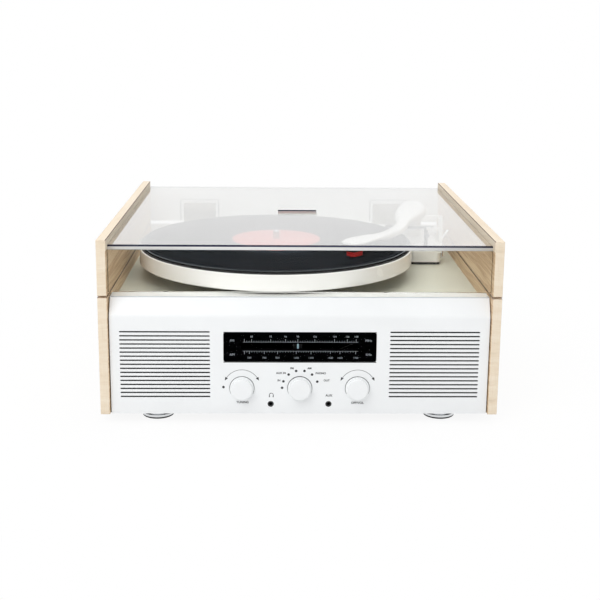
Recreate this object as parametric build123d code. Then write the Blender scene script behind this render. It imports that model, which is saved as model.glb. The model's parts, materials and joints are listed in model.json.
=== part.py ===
from build123d import *
import os
from math import asin, atan2, cos, hypot, radians, sin

os.makedirs("parts", exist_ok=True)

# Belt-drive record player with a radio and two speakers, in a wooden-sided cabinet.
# All sizes are in millimetres. While the pieces are modelled, X runs right from the middle,
# Y runs back from the front ends of the side boards and Z runs up from their bottom ends.
# save() moves every piece to the finished frame: middle of the whole object, foot soles at Z = 0.

# Driving dimensions: cabinet
cabinet_width = 400.0
board_thickness = 9.5
board_depth = 385.0
base_board_height = 121.5
lid_board_height = 56.4
lid_gap = 1.0
panel_thickness = 3.5
rear_inset = 4.0
bottom_thickness = 4.0
cleat_side = 12.0
cleat_drop = 4.5
touch_gap = 0.3
running_gap = 0.05

# Driving dimensions: fascia
fascia_inset = 3.0
fascia_wall = 3.0
fascia_side_gap = 1.0
bend_drop = 20.0
bend_radius = 8.0
brow_radius = 2.0
ledge_drop = 2.1
ledge_front = 12.5
ledge_back = 31.5
deck_drop = 12.4
deck_thickness = 3.0
grille_centre_x = 135.0
grille_width = 90.0
grille_low = 18.0
slot_count = 17
slot_pitch = 4.225
slot_height = 1.5
dial_width = 153.4
dial_height = 30.4
dial_centre_height = 70.0
dial_corner = 2.0
lens_recess = 0.4
lens_thickness = 2.4

# Driving dimensions: controls
knob_spacing = 58.2
knob_height = 26.8
knob_radius = 10.7
knob_skirt_radius = 12.1
knob_skirt = 1.6
knob_depth = 6.5
shaft_radius = 3.0
jack_x = 29.2
jack_height = 10.1
jack_collar_radius = 3.1
jack_bore_radius = 1.8
jack_bore_length = 14.0
bracket_front = 12.0
bracket_thickness = 1.2
bracket_span_x = 80.0
drum_radius = 5.0
drum_width = 5.0
pulley_x = 66.0
pulley_height = 80.0
pulley_radius = 4.0
cord_thickness = 0.8
pointer_start_x = -2.1
pointer_width = 1.6
pointer_height = 4.6
pointer_left_x = -57.6
pointer_right_x = 57.9

# Driving dimensions: feet
foot_height = 9.5
foot_radius = 16.0
foot_ring_radius = 14.8
foot_pad_height = 4.2
foot_x = 145.0
foot_inset_y = 28.0

# Driving dimensions: platter and drive
platter_x = -24.2
platter_y = 173.6
platter_radius = 154.0
platter_rim_wall = 4.5
platter_rise = 15.8
platter_thickness = 17.2
platter_plate = 4.0
mat_recess = 2.0
mat_radius = 152.3
mat_thickness = 3.0
record_radius = 150.8
record_thickness = 1.8
record_groove_depth = 0.4
record_bead = 2.0
label_radius = 50.0
label_thickness = 0.15
spindle_radius = 3.575
spindle_rise = 10.0
spindle_groove = 0.5
spindle_groove_depth = 0.3
hub_radius = 12.0
belt_rim_radius = 95.0
belt_rim_wall = 4.0
belt_height = 6.0
belt_thickness = 0.6
motor_radius = 18.0
motor_length = 30.0
motor_offset = 120.0
motor_bearing_deg = 135.0
pulley_drive_radius = 5.5
motor_shaft_radius = 1.5
bearing_radius = 9.0
bearing_length = 45.0

# Driving dimensions: tonearm
arm_pivot_x = 146.0
arm_pivot_y = 292.0
stylus_x = 55.5
stylus_y = 88.0
arm_park_deg = 25.5
tube_width = 12.0
tube_rise = 5.2
tube_height = 8.5
housing_skirt = 3.0
housing_rise = 2.5
housing_wall = 2.2
lift_axle_rise = 4.0
lift_axle_deg = 14.0
axle_radius = 1.5
turret_radius = 10.5
turret_shaft_radius = 2.5
pedestal_x = (134.0, 171.5)
pedestal_y = (213.0, 312.0)
pedestal_height = 17.0
pedestal_wall = 2.5
gasket_height = 3.0
lift_post_x = 154.0
lift_post_y = 224.0
lift_post_radius = 2.2
lift_angle_deg = 2.0
lever_throw_deg = 60.0
lever_axle_rise = 7.0
cam_radius = 4.0

# Driving dimensions: lid
lid_front_y = 9.5
lid_top_rise = 50.5
lid_top_thickness = 4.0
lid_front_thickness = 3.0
lid_window_rise = 3.2
lid_rear_thickness = 4.0
lid_rear_rise = 2.7
handhold_width = 44.4
handhold_depth = 30.0
handhold_front_y = 182.0
hinge_x = 125.0
hinge_width = 42.0
hinge_leaf = 2.0
hinge_barrel_radius = 4.0
hinge_pin_radius = 2.0
hinge_knuckle = 10.0
clamp_height = 24.0
clamp_thickness = 1.6
base_hinge_drop = 31.5
base_hinge_screw_rise = 7.0

# Driving dimensions: speakers and rear sockets
speaker_radius = 39.0
speaker_height = 51.8
magnet_radius = 22.0
magnet_depth = 12.0
cloth_thickness = 0.8
basket_depth = 19.0
flange_thickness = 2.0
vent_width = 80.0
vent_height = 2.4
vent_low = 40.0
vent_pitch = 6.5
vent_count = 7
rca_radius = 4.15
rca_collar_radius = 4.6
rca_collar_rise = 0.1
rca_length = 9.0
rca_bore_radius = 1.6
rca_x = (-150.0, -132.0)
rca_height = 42.0
antenna_x = -96.0
antenna_radius = 4.0
inlet_x = 132.0
inlet_radius = 5.5
inlet_bore_radius = 2.75
inlet_pin_radius = 1.0

# Places worked out from the values above
inner_x = cabinet_width / 2 - board_thickness
fascia_x = inner_x - fascia_side_gap
fascia_back = fascia_inset + fascia_wall
rear_outer_y = board_depth - rear_inset
rear_inner_y = rear_outer_y - panel_thickness
hinge_axis_y = rear_outer_y + hinge_leaf + hinge_barrel_radius
hinge_axis_height = base_board_height + lid_gap / 2
base_hinge_low = base_board_height - base_hinge_drop
base_hinge_screw_height = base_hinge_low + base_hinge_screw_rise
bend_height = base_board_height - bend_drop
ledge_height = base_board_height - ledge_drop
deck_height = ledge_height - deck_drop
deck_low = deck_height - deck_thickness
cleat_top = deck_low - cleat_drop
lid_board_low = base_board_height + lid_gap
lid_board_high = lid_board_low + lid_board_height
lid_top_height = base_board_height + lid_top_rise
lid_top_low = lid_top_height - lid_top_thickness
lid_window_low = base_board_height + lid_window_rise
lid_rear_low = base_board_height + lid_rear_rise
front_most = fascia_inset - knob_depth
rear_most = hinge_axis_y + hinge_barrel_radius
middle_y = (front_most + rear_most) / 2
to_row_frame = Pos(0, -middle_y, foot_height)

platter_low = deck_height + platter_rise
platter_top = platter_low + platter_thickness
mat_low = platter_top - mat_recess
mat_top = mat_low + mat_thickness
record_top = mat_top + record_thickness
groove_top = record_top - record_groove_depth
belt_rim_low = deck_height + touch_gap + 3.2
motor_x = platter_x + motor_offset * cos(radians(motor_bearing_deg))
motor_y = platter_y + motor_offset * sin(radians(motor_bearing_deg))
pedestal_top = deck_height + pedestal_height
tube_low = record_top + tube_rise
tube_high = tube_low + tube_height
housing_low = tube_low - housing_skirt
housing_high = tube_high + housing_rise
lift_axle_height = tube_low + lift_axle_rise
lever_axle_height = deck_height + lever_axle_rise
lift_radius = hypot(lift_post_x - arm_pivot_x, lift_post_y - arm_pivot_y)
lift_travel = lift_radius * radians(lift_angle_deg)

# Outlines of the tonearm seen from above, as (x, y) points
tube_path = [(134, 262), (130, 232), (122, 201), (110.5, 170), (88, 130)]
housing_outline = [(118, 235), (121.5, 262), (129, 296), (138, 325), (145, 339), (156, 339),
                   (161.5, 328), (161.5, 301), (154, 277), (147, 252), (141, 235)]
housing_cavity = [(150, 272), (157.5, 295), (159, 325), (153, 336), (146, 335), (136, 306), (130, 275)]
headshell_outline = [(45, 92), (49, 104), (60, 117), (74, 126), (89, 137), (98, 131),
                     (90, 116), (80, 100), (68, 86), (57, 80), (48, 85)]
headshell_low = tube_low + 5.5
headshell_top = headshell_low + 4.0
headshell_deg = 42.0
weight_x = (142.5, 156.0)
weight_y = (308.0, 324.0)
cartridge_size = (12.5, 17.0)
stylus_size = (12.0, 15.0)


def slab(x_span, y_span, z_span):
    """Rectangular solid between three pairs of limits."""
    spans = (x_span, y_span, z_span)
    size = [high - low for low, high in spans]
    corner = [low for low, high in spans]
    return Pos(*corner) * Box(*size, align=(Align.MIN, Align.MIN, Align.MIN))


def around(centre, width):
    """Pair of limits with a given middle and width."""
    return (centre - width / 2, centre + width / 2)


def post(x, y, z_span, radius):
    """Upright cylinder."""
    height = z_span[1] - z_span[0]
    solid = Cylinder(radius, height, align=(Align.CENTER, Align.CENTER, Align.MIN))
    return Pos(x, y, z_span[0]) * solid


def rod_y(x, z, y_span, radius):
    """Cylinder that lies front to back."""
    length = y_span[1] - y_span[0]
    solid = Cylinder(radius, length, align=(Align.CENTER, Align.CENTER, Align.MIN))
    return Pos(x, y_span[0], z) * Rot(-90, 0, 0) * solid


def rod_x(y, z, x_span, radius):
    """Cylinder that lies left to right."""
    length = x_span[1] - x_span[0]
    solid = Cylinder(radius, length, align=(Align.CENTER, Align.CENTER, Align.MIN))
    return Pos(x_span[0], y, z) * Rot(0, 90, 0) * solid


def turned(points):
    """Solid of revolution about the upright axis from (radius, height) points."""
    face = make_face(Plane.XZ * Polyline(*points, close=True))
    return revolve(face, Axis.Z)


def plate_from(points, z_span, corner):
    """Upright prism over a plan outline whose corners are rounded."""
    face = make_face(Polyline(*points, close=True))
    face = fillet(face.vertices(), corner)
    return Pos(0, 0, z_span[0]) * extrude(face, z_span[1] - z_span[0])


def rounded_panel(width, height, corner, y_span, x, z):
    """Upright panel that faces the front, with rounded corners."""
    length = y_span[1] - y_span[0]
    solid = extrude(RectangleRounded(width, height, corner), length)
    return Pos(x, y_span[1], z) * Rot(90, 0, 0) * solid


def swung(point, degrees_about_pivot):
    """A plan point after the tonearm has swung about its upright pivot."""
    angle = radians(degrees_about_pivot)
    dx = point[0] - arm_pivot_x
    dy = point[1] - arm_pivot_y
    x = arm_pivot_x + dx * cos(angle) - dy * sin(angle)
    y = arm_pivot_y + dx * sin(angle) + dy * cos(angle)
    return (x, y)


def group(*shapes):
    """Several separate solids that share one node."""
    return Compound([solid for shape in shapes for solid in shape.solids()])


def taut_loop(circles, thickness, width):
    """Closed band round several circles, each given as (x, y, radius) in anticlockwise order."""
    def hull(grow):
        area = None
        count = len(circles)
        for index in range(count):
            x0, y0, r0 = circles[index]
            x1, y1, r1 = circles[(index + 1) % count]
            r0, r1 = r0 + grow, r1 + grow
            distance = hypot(x1 - x0, y1 - y0)
            heading = atan2(y1 - y0, x1 - x0)
            normal = heading - radians(90) + asin((r1 - r0) / distance) * -1
            start = (x0 + r0 * cos(normal), y0 + r0 * sin(normal))
            end = (x1 + r1 * cos(normal), y1 + r1 * sin(normal))
            piece = make_face(Polyline((x0, y0), start, end, (x1, y1), close=True))
            piece = piece + Pos(x0, y0) * Circle(r0)
            area = piece if area is None else area + piece
        if count > 2:
            centres = [(x, y) for x, y, radius in circles]
            area = area + make_face(Polyline(*centres, close=True))
        return area
    return extrude(hull(thickness) - hull(0), width)


def side_board(side, z_span):
    """One wooden board that forms a side of the cabinet or of the lid."""
    x_span = sorted((side * inner_x, side * cabinet_width / 2))
    board = slab(x_span, (0, board_depth), z_span)
    return chamfer(board.edges().filter_by(Axis.Y), 0.4)


def front_fascia():
    """Front wall, its sloped upper part and the narrow ledge in front of the deck."""
    profile = make_face(Plane.YZ * Polyline(
        (fascia_inset, 0), (fascia_inset, bend_height), (ledge_front, ledge_height),
        (ledge_back, ledge_height), (ledge_back, 0), close=True))
    bend = [v for v in profile.vertices() if abs(v.Z - bend_height) < 0.01]
    profile = fillet(bend, bend_radius)
    brow = [v for v in profile.vertices() if abs(v.Y - ledge_front) < 0.01]
    profile = fillet(brow, brow_radius)
    hollow = offset(profile, -fascia_wall, kind=Kind.INTERSECTION)
    shell = extrude(profile - hollow, fascia_x, both=True)
    below_lip = slab((-fascia_x, fascia_x), (fascia_back, ledge_back + 1), (-1, deck_low - 3))
    shell = shell - below_lip
    slots = []
    for side in (-1, 1):
        for row in range(slot_count):
            height = grille_low + row * slot_pitch
            cutter = extrude(SlotOverall(grille_width, slot_height), fascia_wall + 2)
            place = Pos(side * grille_centre_x, fascia_back + 1, height)
            slots.append(place * Rot(90, 0, 0) * cutter)
    shell = shell - slots
    wall_span = (fascia_inset - 1, fascia_back + 1)
    shell = shell - rounded_panel(dial_width, dial_height, dial_corner, wall_span, 0, dial_centre_height)
    for column in (-1, 0, 1):
        shell = shell - rod_y(column * knob_spacing, knob_height, wall_span, shaft_radius + 0.6)
    for side in (-1, 1):
        shell = shell - rod_y(side * jack_x, jack_height, wall_span, jack_collar_radius + running_gap)
    return shell


def dial_lens():
    """Clear window that fills the dial opening."""
    y_span = (fascia_inset + lens_recess, fascia_inset + lens_recess + lens_thickness)
    clear = 0.1
    return rounded_panel(dial_width - 2 * clear, dial_height - 2 * clear, dial_corner - clear,
                         y_span, 0, dial_centre_height)


scale_back = fascia_back + 0.8
pointer_slot_height = pointer_height + 2 * touch_gap


def dial_scale_plate():
    """Printed plate behind the window, with the slot in which the pointer shows."""
    plate = slab(around(0, dial_width + 8), (fascia_back, scale_back),
                 around(dial_centre_height, dial_height + 8))
    slot_x = (pointer_left_x - pointer_width, pointer_right_x + pointer_width)
    slot = slab(slot_x, (fascia_back - 1, scale_back + 1), around(dial_centre_height, pointer_slot_height))
    return plate - slot


rail_y = scale_back + 4.5
rail_height = dial_centre_height + 6.0
rail_radius = 1.5
rail_half = pulley_x + 6.0
cord_y = bracket_front + bracket_thickness + 3.4


def pointer_rail():
    """Rod that the pointer's carriage slides on, with a standoff at each end."""
    rail = rod_x(rail_y, rail_height, (-rail_half, rail_half), rail_radius)
    for side in (-1, 1):
        foot_x = sorted((side * rail_half, side * (rail_half + 4)))
        rail = rail + slab(foot_x, (scale_back, rail_y + 2.5), around(rail_height, 6))
        bearer_x = around(side * pulley_x, 5)
        bearer = slab(bearer_x, (scale_back, cord_y - 2.2), (pulley_height - 2, pulley_height + 2))
        bearer = bearer - rod_x(rail_y, rail_height, bearer_x, rail_radius)
        rail = rail + bearer + rod_y(side * pulley_x, pulley_height, (cord_y - 2.3, cord_y + 2.0), 1.5)
    return rail


def dial_pointer():
    """Needle in the slot, on a carriage that rides the rail and grips the cord."""
    x = pointer_start_x
    needle = slab(around(x, pointer_width), (fascia_back + 0.1, scale_back + 1.2),
                  around(dial_centre_height, pointer_height))
    carriage_z = (dial_centre_height - 4, rail_height + 4)
    carriage = slab(around(x, 9), (scale_back + touch_gap, rail_y + 3), carriage_z)
    cord_top = pulley_height + pulley_radius + cord_thickness
    arm = slab(around(x, 4), (rail_y + 1, cord_y + 1.4), (rail_height + 3.5, cord_top + 0.2))
    cord_slot = slab(around(x, 6), around(cord_y, 1.6), (pulley_height + 3, cord_top + 1))
    whole = needle + carriage + arm
    return whole - cord_slot - rod_x(rail_y, rail_height, around(x, 12), rail_radius + running_gap)


def cord_path():
    """Wheels that the dial cord runs round, in a plane parallel to the front."""
    drum = (-knob_spacing, knob_height, drum_radius + touch_gap)
    right = (pulley_x, pulley_height, pulley_radius + touch_gap)
    left = (-pulley_x, pulley_height, pulley_radius + touch_gap)
    return [drum, right, left]


def dial_cord():
    """Cord that carries the pointer along when the tuning drum turns."""
    band = taut_loop(cord_path(), cord_thickness, cord_thickness)
    return Pos(0, cord_y + cord_thickness / 2, 0) * Rot(90, 0, 0) * band


def cord_pulleys():
    """The two idle wheels at the ends of the cord's upper run."""
    wheels = []
    for side in (-1, 1):
        wheel = rod_y(side * pulley_x, pulley_height, around(cord_y, 3.0), pulley_radius)
        wheel = wheel - rod_y(side * pulley_x, pulley_height, around(cord_y, 4.0), 1.5)
        wheels.append(wheel)
    return group(*wheels)


def control_bracket():
    """Steel plate behind the fascia that carries the three shafts, on two bent feet."""
    bracket_z = (17.0, 46.0)
    y_span = (bracket_front, bracket_front + bracket_thickness)
    plate = slab((-bracket_span_x, bracket_span_x), y_span, bracket_z)
    for side in (-1, 1):
        foot_x = sorted((side * (bracket_span_x - bracket_thickness), side * bracket_span_x))
        plate = plate + slab(foot_x, (fascia_back, bracket_front + bracket_thickness), bracket_z)
    for column in (-1, 0, 1):
        plate = plate - rod_y(column * knob_spacing, knob_height, (bracket_front - 1, bracket_front + 3),
                              shaft_radius + running_gap)
    return plate


def knob(x):
    """Smooth round knob with a thin skirt, drilled for its shaft."""
    front = fascia_inset - knob_depth
    back = fascia_inset - touch_gap
    cap = rod_y(x, knob_height, (front, back - 0.5), knob_radius)
    cap = fillet(cap.edges().sort_by(Axis.Y)[0], 0.9)
    skirt = rod_y(x, knob_height, (back - knob_skirt, back), knob_skirt_radius)
    skirt = fillet(skirt.edges().sort_by(Axis.Y)[0], 0.7)
    return cap + skirt - rod_y(x, knob_height, (front + 2.2, back + 1), shaft_radius)


shaft_front = fascia_inset - knob_depth + 2.2
control_back = bracket_front + bracket_thickness


def control_shaft(x, length):
    """Steel shaft of one control."""
    return rod_y(x, knob_height, (shaft_front, shaft_front + length), shaft_radius)


selector_depth = 10.0
pot_depth = 9.0
capacitor_front = cord_y + 3.4
capacitor_depth = 16.0


def selector_switch():
    """Rotary switch body on the bracket."""
    body = slab(around(0, 24), (control_back, control_back + selector_depth), around(knob_height, 19))
    return body - rod_y(0, knob_height, (control_back - 1, control_back + selector_depth - 2),
                        shaft_radius + running_gap)


def volume_control():
    """Potentiometer body on the bracket."""
    body = rod_y(knob_spacing, knob_height, (control_back, control_back + pot_depth), 8.5)
    return body - rod_y(knob_spacing, knob_height, (control_back - 1, control_back + pot_depth - 2),
                        shaft_radius + running_gap)


def tuning_capacitor():
    """Variable capacitor that stands on the bottom panel behind the tuning drum."""
    y_span = (capacitor_front, capacitor_front + capacitor_depth)
    body = slab(around(-knob_spacing, 20), y_span, (bottom_thickness, knob_height + 10))
    return body - rod_y(-knob_spacing, knob_height, (y_span[0] - 1, y_span[1] - 3),
                        shaft_radius + running_gap)


def tuning_drum():
    """Drum on the tuning shaft that pulls the dial cord."""
    drum = rod_y(-knob_spacing, knob_height, around(cord_y, drum_width), drum_radius)
    return drum - rod_y(-knob_spacing, knob_height, around(cord_y, drum_width + 2), shaft_radius)


def jack(x):
    """Phone jack socket: black collar in the fascia hole and a body behind it."""
    mouth = fascia_inset + 0.6
    collar = rod_y(x, jack_height, (mouth, fascia_back), jack_collar_radius)
    body = slab(around(x, 12), (fascia_back, mouth + jack_bore_length + 2), around(jack_height, 11))
    return collar + body - rod_y(x, jack_height, (mouth - 1, mouth + jack_bore_length), jack_bore_radius)


def speaker_pieces(side):
    """Basket, paper cone and magnet of one speaker, and the cloth in front of it."""
    x = side * grille_centre_x
    cloth_back = fascia_back + cloth_thickness
    flange_back = cloth_back + flange_thickness
    basket_back = flange_back + basket_depth
    cloth_z = around(speaker_height, 2 * speaker_radius)
    cloth = slab(around(x, grille_width + 6), (fascia_back, cloth_back), cloth_z)

    def facing_back(points):
        solid = turned(points)
        return Pos(x, cloth_back, speaker_height) * Rot(-90, 0, 0) * solid
    flange = flange_back - cloth_back
    depth = basket_back - cloth_back
    basket = facing_back([(34, 0), (speaker_radius, 0), (speaker_radius, flange), (36, flange),
                          (21, depth - 2), (21, depth), (13, depth), (13, depth - 1.6), (19.6, depth - 1.6),
                          (34, flange)])
    cone = facing_back([(0, 9), (8, 9), (10, 10), (33.6, 1.4), (33.6, 2.4), (10.4, 11.2), (10.4, depth - 2),
                        (9.6, depth - 2), (9.6, 11), (0, 10)])
    magnet = facing_back([(0, depth), (magnet_radius, depth), (magnet_radius, depth + magnet_depth),
                          (0, depth + magnet_depth)])
    return cloth, basket, cone, magnet


def bottom_panel():
    """Bottom of the cabinet with its four screw holes."""
    panel = slab((-inner_x, inner_x), (fascia_back, rear_inner_y), (0, bottom_thickness))
    for x, y in bottom_screw_places:
        panel = panel - post(x, y, (-1, bottom_thickness + 1), screw_shank + running_gap)
    return panel


board_x = (-95.0, 55.0)
board_y = (70.0, 180.0)
board_low = 12.0
board_thick = 1.6
capacitor_places = ((30, 95), (30, 118))
small_capacitor_places = ((5, 160), (-20, 160))
coil_place = (-80, 100)
sink_x = (-70.0, -10.0)
sink_y = 128.0
sink_height = 30.0
sink_wall = 3.0
fin_count = 8
fin_thickness = 2.0
fin_reach = 18.0
chip_x = (-60.0, -30.0)
chip_y = (88.0, 104.0)
core_x = (95.0, 145.0)
core_y = (255.0, 297.0)
core_top = 46.0
coil_overlap = 9.0
coil_reach = 8.0
coil_z = (12.0, 38.0)
board_corners = [(x, y) for x in (board_x[0] + 6, board_x[1] - 6) for y in (board_y[0] + 6, board_y[1] - 6)]
standoff_radius = 3.0
screw_shank = 1.6
screw_head = 3.2
screw_head_height = 1.8
bottom_screw_length = 14.0
rear_screw_length = 13.0
small_head = 2.8
small_head_height = 1.4
cleat_x = inner_x - cleat_side / 2
cleat_y = (fascia_back + cleat_side / 2 + 4, rear_inner_y - cleat_side / 2)
bottom_screw_places = [(side * cleat_x, y) for side in (-1, 1) for y in cleat_y]
rear_screw_places = [(side * cleat_x, z) for side in (-1, 1) for z in (20.0, 90.0)]


def screw_up(x, y, head_top, length):
    """Pan-head screw driven upwards from below."""
    head = post(x, y, (head_top - screw_head_height, head_top), screw_head)
    return head + post(x, y, (head_top, head_top + length), screw_shank)


def screw_forward(x, z, face_y, length):
    """Pan-head screw driven forwards through a face that looks back."""
    head = rod_y(x, z, (face_y, face_y + screw_head_height), screw_head)
    return head + rod_y(x, z, (face_y - length, face_y), screw_shank)


def bottom_screws():
    return group(*[screw_up(x, y, 0, bottom_screw_length) for x, y in bottom_screw_places])


def rear_screws():
    return group(*[screw_forward(x, z, rear_outer_y, rear_screw_length) for x, z in rear_screw_places])


def corner_cleats():
    """Upright battens in the four corners that the panels are screwed to."""
    cleats = []
    for side in (-1, 1):
        for y in cleat_y:
            plan = (around(side * cleat_x, cleat_side), around(y, cleat_side))
            cleats.append(slab(*plan, (bottom_thickness, cleat_top)))
    for index, cleat in enumerate(cleats):
        for x, y in bottom_screw_places:
            cleat = cleat - post(x, y, (0, bottom_screw_length), screw_shank)
        for x, z in rear_screw_places:
            cleat = cleat - rod_y(x, z, (rear_outer_y - rear_screw_length, rear_outer_y), screw_shank)
        cleats[index] = cleat
    return group(*cleats)


def circuit_board():
    """Board of the radio and the amplifier on four standoffs, with capacitors, chip and heat sink."""
    top = board_low + board_thick
    board = slab(board_x, board_y, (board_low, top))
    standoffs = [post(x, y, (bottom_thickness, board_low), standoff_radius) for x, y in board_corners]
    cans = []
    for places, radius, height in ((capacitor_places, 8, 28), (small_capacitor_places, 5, 14),
                                   ((coil_place,), 6, 12)):
        cans += [post(x, y, (top, top + height), radius) for x, y in places]
    sink_z = (top, top + sink_height)
    sink = slab(sink_x, (sink_y, sink_y + sink_wall), sink_z)
    pitch = (sink_x[1] - sink_x[0] - fin_thickness) / (fin_count - 1)
    for fin in range(fin_count):
        x = sink_x[0] + fin * pitch
        sink = sink + slab((x, x + fin_thickness), (sink_y, sink_y + fin_reach), sink_z)
    chip = slab(chip_x, chip_y, (top, top + 4))
    return group(board, sink, chip, *cans, *standoffs)


def power_transformer():
    """Transformer that stands on the bottom panel."""
    core = slab(core_x, core_y, (bottom_thickness, core_top))
    coil_x = (core_x[0] + coil_overlap, core_x[1] - coil_overlap)
    coil = slab(coil_x, (core_y[0] - coil_reach, core_y[1] + coil_reach), coil_z)
    return core + coil


def rear_panel():
    """Back wall with sockets, hinge screws and a row of vents."""
    panel = slab((-inner_x, inner_x), (rear_inner_y, rear_outer_y), (0, base_board_height - 1.5))
    through = (rear_inner_y - 1, rear_outer_y + 1)
    for x in rca_x:
        panel = panel - rod_y(x, rca_height, through, rca_collar_radius + running_gap)
    panel = panel - rod_y(antenna_x, rca_height, through, antenna_radius + running_gap)
    panel = panel - rod_y(inlet_x, rca_height, through, inlet_radius + running_gap)
    for row in range(vent_count):
        vent = extrude(SlotOverall(vent_width, vent_height), panel_thickness + 2)
        panel = panel - Pos(0, rear_outer_y + 1, vent_low + row * vent_pitch) * Rot(90, 0, 0) * vent
    for x, z in rear_screw_places:
        panel = panel - rod_y(x, z, through, screw_shank + running_gap)
    for x, z in base_hinge_screw_places:
        panel = panel - rod_y(x, z, through, screw_shank)
    return panel


def deck_plate():
    """Top plate of the base, with holes for the bearing, the motor, the arm and the speed slide."""
    deck = slab((-inner_x, inner_x), (ledge_back, rear_inner_y), (deck_low, deck_height))
    through = (deck_low - 1, deck_height + 1)
    deck = deck - post(platter_x, platter_y, through, bearing_radius + running_gap)
    deck = deck - post(motor_x, motor_y, through, 6.0)
    deck = deck - post(arm_pivot_x, arm_pivot_y, through, bush_radius + 0.5)
    deck = deck - slab(around(speed_x, 12), around(speed_y, 22), through)
    for x, y in motor_screw_places:
        deck = deck - post(x, y, through, screw_shank)
    return deck


def side_pairs(x_offset, y):
    return [(side * x_offset, y) for side in (-1, 1)]


foot_places = side_pairs(foot_x, foot_inset_y) + side_pairs(foot_x, board_depth - foot_inset_y)


def foot_rings():
    """Bright collar of each foot."""
    rings = []
    for x, y in foot_places:
        ring = post(x, y, (foot_pad_height - foot_height, 0), foot_ring_radius)
        rings.append(chamfer(ring.edges().filter_by(GeomType.CIRCLE), 0.4))
    return group(*rings)


def foot_pads():
    """Rubber sole of each foot."""
    pads = []
    for x, y in foot_places:
        pad = post(x, y, (-foot_height, foot_pad_height - foot_height), foot_radius)
        pads.append(fillet(pad.edges().filter_by(GeomType.CIRCLE), 0.8))
    return group(*pads)


def spindle_bearing():
    """Flanged sleeve under the deck that the spindle turns in, closed at the bottom."""
    top = deck_height + 0.8
    low = top - bearing_length
    sleeve = post(platter_x, platter_y, (low, top), bearing_radius)
    flange = post(platter_x, platter_y, (deck_low - 2.5, deck_low), bearing_radius + 9)
    bore = post(platter_x, platter_y, (low + 3, top + 1), spindle_radius + running_gap)
    return sleeve + flange - bore


def spindle():
    """Steel spindle from the bearing up through the record, with a fine groove and a rounded tip."""
    low = deck_height + 0.8 - bearing_length + 3 + touch_gap
    rod = post(platter_x, platter_y, (low, record_top + spindle_rise), spindle_radius)
    rod = fillet(rod.edges().sort_by(Axis.Z)[-1], 2.4)
    groove_span = (record_top + 0.1 - spindle_groove, record_top + 0.1)
    groove = post(platter_x, platter_y, groove_span, spindle_radius + 1)
    groove = groove - post(platter_x, platter_y, groove_span, spindle_radius - spindle_groove_depth)
    return rod - groove


def on_platter(points):
    return Pos(platter_x, platter_y, 0) * turned(points)


def platter():
    """Cast platter: plate with its raised lip, outer rim, belt rim and hub, face to face."""
    bore = spindle_radius + 0.02
    plate_low = mat_low - platter_plate
    lip_inner = mat_radius + touch_gap
    hub_low = deck_height + 0.8 + touch_gap
    edge = 0.6
    plate = [(bore, plate_low), (platter_radius, plate_low), (platter_radius, platter_top - edge),
             (platter_radius - edge, platter_top), (lip_inner, platter_top), (lip_inner, mat_low),
             (bore, mat_low)]
    rim = [(platter_radius - platter_rim_wall, platter_low), (platter_radius - edge, platter_low),
           (platter_radius, platter_low + edge), (platter_radius, plate_low),
           (platter_radius - platter_rim_wall, plate_low)]
    belt_rim = [(belt_rim_radius - belt_rim_wall, belt_rim_low), (belt_rim_radius, belt_rim_low),
                (belt_rim_radius, plate_low), (belt_rim_radius - belt_rim_wall, plate_low)]
    hub = [(bore, hub_low), (hub_radius, hub_low), (hub_radius, plate_low), (bore, plate_low)]
    return group(*[on_platter(points) for points in (plate, rim, belt_rim, hub)])


def platter_mat():
    """Black rubber mat."""
    bore = spindle_radius + 0.1
    return on_platter([(bore, mat_low), (mat_radius, mat_low), (mat_radius, mat_top - 0.6),
                       (mat_radius - 0.6, mat_top), (bore, mat_top)])


def record():
    """Vinyl record with a raised edge and a thicker middle."""
    bore = spindle_radius + 0.045
    edge = record_radius
    label_low = record_top - label_thickness
    return on_platter([(bore, mat_top), (edge - 0.5, mat_top), (edge, mat_top + 0.5),
                       (edge, record_top - 0.5), (edge - 0.5, record_top), (edge - record_bead, record_top),
                       (edge - record_bead - 1.2, groove_top), (label_radius + 6, groove_top),
                       (label_radius + 4, label_low), (bore, label_low)])


def record_label():
    """Paper label on the record."""
    bore = spindle_radius + 0.045
    low = record_top - label_thickness
    return on_platter([(bore, low), (label_radius, low), (label_radius, record_top), (bore, record_top)])


motor_top = deck_low
pulley_low = belt_rim_low + 0.6
motor_screw_places = [(motor_x + side * 12.5, motor_y) for side in (-1, 1)]


def motor():
    """Motor can that hangs under the deck."""
    can = post(motor_x, motor_y, (motor_top - motor_length, motor_top), motor_radius)
    can = chamfer(can.edges().filter_by(GeomType.CIRCLE), 0.8)
    can = can - post(motor_x, motor_y, (motor_top - 12, motor_top + 1), motor_shaft_radius + running_gap)
    for x, y in motor_screw_places:
        can = can - post(x, y, (motor_top - 5, motor_top + 1), screw_shank)
    return can


def motor_screws():
    """The two screws that hold the motor to the deck from above."""
    screws = []
    for x, y in motor_screw_places:
        head = post(x, y, (deck_height, deck_height + small_head_height), small_head)
        screws.append(head + post(x, y, (motor_top - 5, deck_height), screw_shank))
    return group(*screws)


def motor_shaft():
    top = pulley_low + belt_height + 2.4
    return post(motor_x, motor_y, (motor_top - 12 + touch_gap, top), motor_shaft_radius)


def motor_pulley():
    """Brass pulley with two flanges."""
    flange = pulley_drive_radius + 1.4
    z = pulley_low
    body = turned([(motor_shaft_radius, z - 1.2), (flange, z - 1.2), (flange, z - touch_gap),
                   (pulley_drive_radius, z - touch_gap), (pulley_drive_radius, z + belt_height + touch_gap),
                   (flange, z + belt_height + touch_gap), (flange, z + belt_height + 1.4),
                   (motor_shaft_radius, z + belt_height + 1.4)])
    return Pos(motor_x, motor_y, 0) * body


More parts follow.
